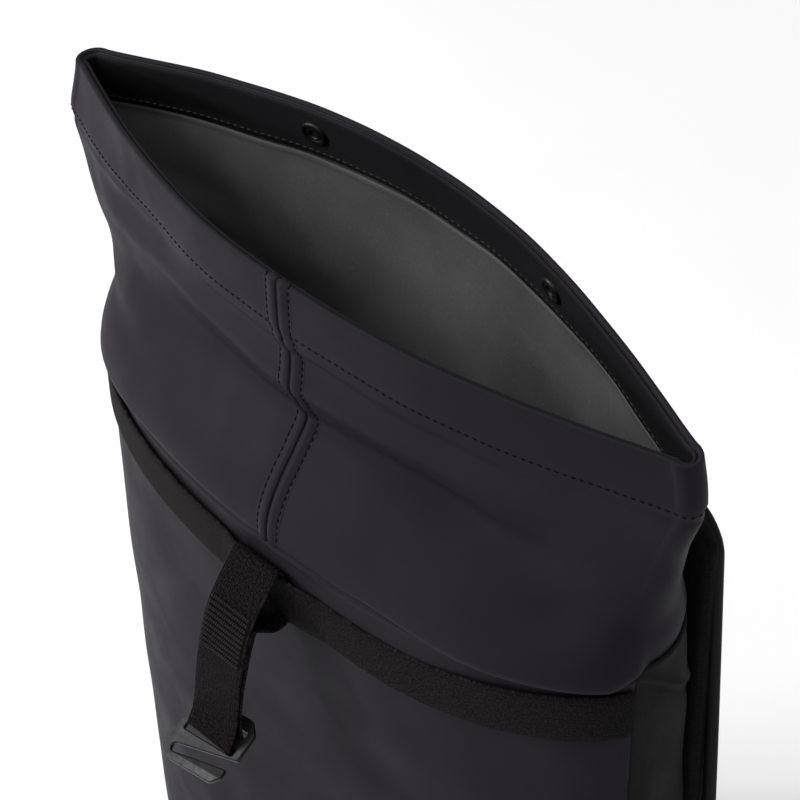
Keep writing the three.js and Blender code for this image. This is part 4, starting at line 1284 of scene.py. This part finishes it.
def build_back_panel():
    rounds = [(4.0, 0.0), (1.2, 1.2), (0.0, 3.4)]
    rings = [(inset, PAD_FRONT + y) for inset, y in rounds]
    rings += [(inset, PAD_BACK - 1.0 - y) for inset, y in rounds[::-1]]
    outlines = [(pad_outline(inset), y) for inset, y in rings]
    layers = np.array([joined(outline[:, 0], y, outline[:, 1]) for outline, y in outlines])
    cols = layers.shape[1]
    faces = [list(f) for f in quads(len(layers), cols, False, True)]
    end = (len(layers) - 1) * cols
    for i in range(cols // 2 - 1):
        far = cols - 1 - i
        faces.append([i + 1, i, far, far - 1])
        faces.append([end + i, end + i + 1, end + far - 1, end + far])
    points, faces = simulate_pad(layers.reshape(-1, 3), faces, 5, 5)
    x, y, z = points.T
    x = x * (PAD_HALF_WIDTH + PAD_FLARE) / np.abs(x).max()
    z = (z - z.min()) * PAD_TOP / (z.max() - z.min())
    rear = smoothstep(y, PAD_FRONT + 3, PAD_BACK - 2)
    upright = sum(bell(np.abs(x), row["at"], row["wide"]) for row in PAD_UPRIGHT)
    level = sum(bell(z, row["at"], row["wide"]) for row in PAD_LEVEL)
    inside = (1 - smoothstep(np.abs(x), 112, 122)) * smoothstep(z, 10, 24)
    sewn = np.maximum(upright * (1 - smoothstep(z, PAD_TOP - 30, PAD_TOP - 8)), level * inside)
    y = np.clip(y - rear * PAD_CHANNEL * sewn, PAD_FRONT, PAD_BACK + 4.5)
    solid = joined(x, y, np.maximum(z, 0.0))
    pad = mesh_piece("back_panel_pad", solid, faces, PAD, "back_panel")
    outline = pad_outline(2.4, 40)
    edge = joined(outline[:, 0], PAD_BACK - 1.6, outline[:, 1])
    closed = np.concatenate([edge, edge[:1]])
    marks = lengths_along(closed)
    line = hermite(marks, closed, np.linspace(0, marks[-1], 500, endpoint=False))
    piping("back_panel_piping", line, 2.8, True)


def piping(name, line, radius, closed):
    """A round cord of edge binding along a line."""
    if closed:
        along = unit(np.roll(line, -1, axis=0) - np.roll(line, 1, axis=0))
    else:
        along = unit(np.gradient(line, axis=0))
    first = unit(np.cross(along, BACKWARD))
    rings = line[:, None] + radius * circles(first, np.cross(along, first), PIPING_SIDES)
    rings[..., 2] = np.maximum(rings[..., 2], 0.0)
    faces = [list(f) for f in quads(len(line), PIPING_SIDES, closed, True)]
    if not closed:
        last = (len(line) - 1) * PIPING_SIDES
        faces.append(list(range(PIPING_SIDES))[::-1])
        faces.append([last + i for i in range(PIPING_SIDES)])
    mesh_piece(name, rings.reshape(-1, 3), faces, PAD_EDGE)


def shoulder_line():
    """A shoulder strap's middle line, and its width at each of the line's points."""
    row = {name: np.array([r[name] for r in SHOULDER_LINE]) for name in SHOULDER_LINE[0]}
    points = joined(SHOULDER_SPREAD + row["side"] * PAD_HALF_WIDTH,
                    PAD_BACK + GAP + SHOULDER_THICK / 2 + row["out"] * SHOULDER_OUT,
                    PAD_TOP - row["drop"] * PAD_TOP)
    marks = lengths_along(points)
    at = np.linspace(0, marks[-1], SHOULDER_ROWS)
    return hermite(marks, points, at), hermite(marks, row["width"] * SHOULDER_WIDTH, at)


def build_shoulder_straps():
    line, widths = shoulder_line()
    number = np.arange(SHOULDER_ROWS)
    ends = 0.28 * smoothstep(number, 0, 6) * smoothstep(SHOULDER_ROWS - 1 - number, 0, 6)
    taper = np.minimum(1, 0.72 + ends)
    grid, normals, share = ribbon_grid(line, (1, 0, 0), (widths - 3) * taper, 15)
    half = (SHOULDER_THICK / 2 - 0.8) * (1 - np.abs(share) ** 4 * 0.55)
    sides = [(grid + sign * normals * half[None, :, None]).reshape(-1, 3) for sign in (1, -1)]
    rows, cols, _ = grid.shape
    n = rows * cols
    front = quads(rows, cols)
    border = grid_border(rows, cols)
    turn = np.roll(border, -1)
    rim = np.stack([turn, border, border + n, turn + n], axis=-1)
    faces = np.concatenate([front, front[:, ::-1] + n, rim])
    solid, faces = simulate_pad(np.concatenate(sides), faces, 3.2, 3.0)
    solid[:, 1] = np.maximum(solid[:, 1], PAD_BACK + GAP)
    for side, sign in (("left", -1), ("right", 1)):
        turned = faces if sign > 0 else [f[::-1] for f in faces]
        strap = mesh_piece(f"shoulder_pad_{side}", solid * [sign, 1, 1], turned, PAD,
                           f"shoulder_strap_{side}")
        for edge_side, column in (("inner", 0), ("outer", -1)):
            edge = grid[2:-2, column] + unit(grid[2:-2, column] - grid[2:-2, 7]) * 0.6
            piping(f"shoulder_piping_{side}_{edge_side}", edge * [sign, 1, 1], 1.6, False)
    return line


def build_strap_hardware(line):
    along = unit(line[-1] - line[-2])
    middle = line[-1] + along * (ADJUSTER_HEIGHT / 2 + GAP)
    wide = unit(np.array([1.0, 0, 0]) - along * along[0])
    out = np.cross(along, wide)
    out = out if out[1] > 0 else -out
    tab_x = PAD_HALF_WIDTH - TAB_WIDTH / 2 - TAB_INSET
    tab_z = PAD_CORNER + TAB_RISE + TAB_HEIGHT / 2
    web_start = middle - out * (ADJUSTER_THICK / 2 + GAP + WEBBING_THICK / 2)
    on_tab = np.array([tab_x, PAD_BACK + 2 * GAP + TAB_THICK + WEBBING_THICK / 2, tab_z])
    route = np.array([
        web_start,
        web_start + along * (ADJUSTER_HEIGHT / 2 + 4),
        on_tab + [0, 0.6, TAB_HEIGHT / 2 + 8],
        on_tab,
    ])
    marks = lengths_along(route)
    web_line = hermite(marks, route, np.linspace(0, marks[-1], 50))
    x = ADJUSTER_WIDTH / 2
    y = ADJUSTER_HEIGHT / 2
    outline = rounded_polygon([dict(x=a, y=b, round=4) for a, b in ((-x, -y), (x, -y), (x, y), (-x, y))])
    slots = [slot_outline(c - ADJUSTER_SLOT / 2, c + ADJUSTER_SLOT / 2) for c in (-y / 2, y / 2)]
    plate, plate_faces = plate_mesh([outline, *slots], ADJUSTER_THICK, 0.9)
    for side, sign in (("left", -1), ("right", 1)):
        mirror = np.array([sign, 1, 1])
        webbing_strip(f"strap_webbing_{side}_cloth", web_line * mirror, (-1, 0, 0), f"strap_webbing_{side}")
        solid = (middle + plate[:, :1] * wide - plate[:, 1:2] * along + plate[:, 2:] * out) * mirror
        adjuster = mesh_piece(f"strap_adjuster_{side}_plate", solid, plate_faces, PLASTIC,
                              f"strap_adjuster_{side}")
        set_smooth_by_angle(adjuster)
        build_tab(side, np.array([tab_x * sign, PAD_BACK + GAP, tab_z]))


def build_tab(side, seat):
    up = np.linspace(-1, 1, 15)[:, None]
    aside = np.linspace(-1, 1, 13)[::-1]
    width = lerp(TAB_WIDTH, WEBBING_WIDTH, (up + 1) / 2)
    grid = seat + joined(aside * width / 2, TAB_THICK, up * TAB_HEIGHT / 2)
    points, faces, _ = closed_cloth(grid, np.broadcast_to(BACKWARD, grid.shape), TAB_THICK - 0.2)
    mesh_piece(f"strap_tab_{side}_cloth", points, faces, PAD_EDGE, f"strap_tab_{side}")
    low = TAB_WIDTH / 2 - TAB_STITCH
    high = WEBBING_WIDTH / 2 - TAB_STITCH
    end = TAB_HEIGHT / 2 - TAB_STITCH
    corners = [(-low, -end), (low, -end), (high, end), (-high, end), (-low, -end)]
    path = np.array([seat + [x, TAB_THICK + 0.1, z] for x, z in corners])
    marks = lengths_along(path)
    fine = between_rows(np.linspace(0, marks[-1], 120), marks, path)
    rows = [(fine, np.broadcast_to(BACKWARD, fine.shape))]
    stitches(f"strap_tab_{side}_stitches", rows, WEBBING_THREAD)


def build_handle():
    height = PAD_TOP - HANDLE_DROP
    flat = PAD_BACK + GAP + WEBBING_THICK / 2
    t = np.linspace(-1, 1, 90)
    open_share = np.maximum(0, np.cos(np.clip(t / HANDLE_OPEN, -1, 1) * np.pi / 2)) ** HANDLE_FULLNESS
    line = joined(t * HANDLE_SPREAD, flat + HANDLE_OUT * open_share, height)
    webbing_strip("grab_handle_webbing", line, (0, 0, 1), "grab_handle")
    zs = height + np.linspace(-10.5, 10.5, 30)
    rows = []
    for sign in (-1, 1):
        for x in (0.78, 0.86, 0.94):
            line = joined(sign * x * HANDLE_SPREAD, flat + WEBBING_THICK / 2 + 0.1, zs)
            rows.append((line, np.broadcast_to(BACKWARD, line.shape)))
    stitches("grab_handle_stitches", rows, WEBBING_THREAD)


# Room

def area_light(name, at, aim_height, size, power):
    light = bpy.data.lights.new(name, "AREA")
    light.shape = "RECTANGLE"
    light.size = size
    light.size_y = size
    light.energy = power
    obj = bpy.data.objects.new(name, light)
    obj.location = at
    direction = Vector((0, 0, aim_height)) - Vector(at)
    obj.rotation_euler = direction.to_track_quat("-Z", "Y").to_euler()
    bpy.context.scene.collection.objects.link(obj)


def build_camera():
    back = Vector((math.sin(CAMERA_AZIMUTH) * math.cos(CAMERA_ELEVATION),
                   -math.cos(CAMERA_AZIMUTH) * math.cos(CAMERA_ELEVATION), math.sin(CAMERA_ELEVATION)))
    right = Vector((math.cos(CAMERA_AZIMUTH), math.sin(CAMERA_AZIMUTH), 0))
    up = back.cross(right)
    mouth = Vector((0, Y_SHIFT - MOUTH_LEAN, CREASE + CORNER_RISE))
    place_at = (mouth + right * CAMERA_ASIDE + up * CAMERA_LOWER + back * CAMERA_DISTANCE) * MM
    data = bpy.data.cameras.new("camera")
    data.lens = CAMERA_LENS
    data.sensor_width = CAMERA_SENSOR
    data.clip_start = CAMERA_NEAR
    camera = bpy.data.objects.new("camera", data)
    turned = Matrix((right, up, back)).transposed().to_4x4()
    camera.matrix_world = Matrix.Translation(place_at) @ turned
    bpy.context.scene.collection.objects.link(camera)
    bpy.context.scene.camera = camera


def build_room():
    scene = bpy.context.scene
    world = bpy.data.worlds.new("room")
    world.use_nodes = True
    background = world.node_tree.nodes["Background"]
    background.inputs["Color"].default_value = (1, 1, 1, 1)
    background.inputs["Strength"].default_value = WORLD_LIGHT
    scene.world = world
    scene.view_settings.view_transform = "Standard"
    reach = FLOOR_REACH
    corners = [(-reach, -reach, 0), (reach, -reach, 0), (reach, reach, 0), (-reach, reach, 0)]
    mesh = bpy.data.meshes.new("floor")
    mesh.from_pydata(corners, [], [(0, 1, 2, 3)])
    floor = bpy.data.objects.new("floor", mesh)
    material, tree = new_material("floor")
    connect(tree, ramp(tree, noise(tree, object_place(tree), 3, 2), *FLOOR_TONES), 0.9)
    mesh.materials.append(material)
    scene.collection.objects.link(floor)
    for row in LIGHTS:
        area_light(**row)


build_camera()
build_room()
tube_parts = build_tube()
build_front_seam()
build_snaps(*tube_parts)
build_body()
build_base()
build_band()
build_hook_strap()
build_hook()
build_back_panel()
strap_line = build_shoulder_straps()
build_strap_hardware(strap_line)
build_handle()
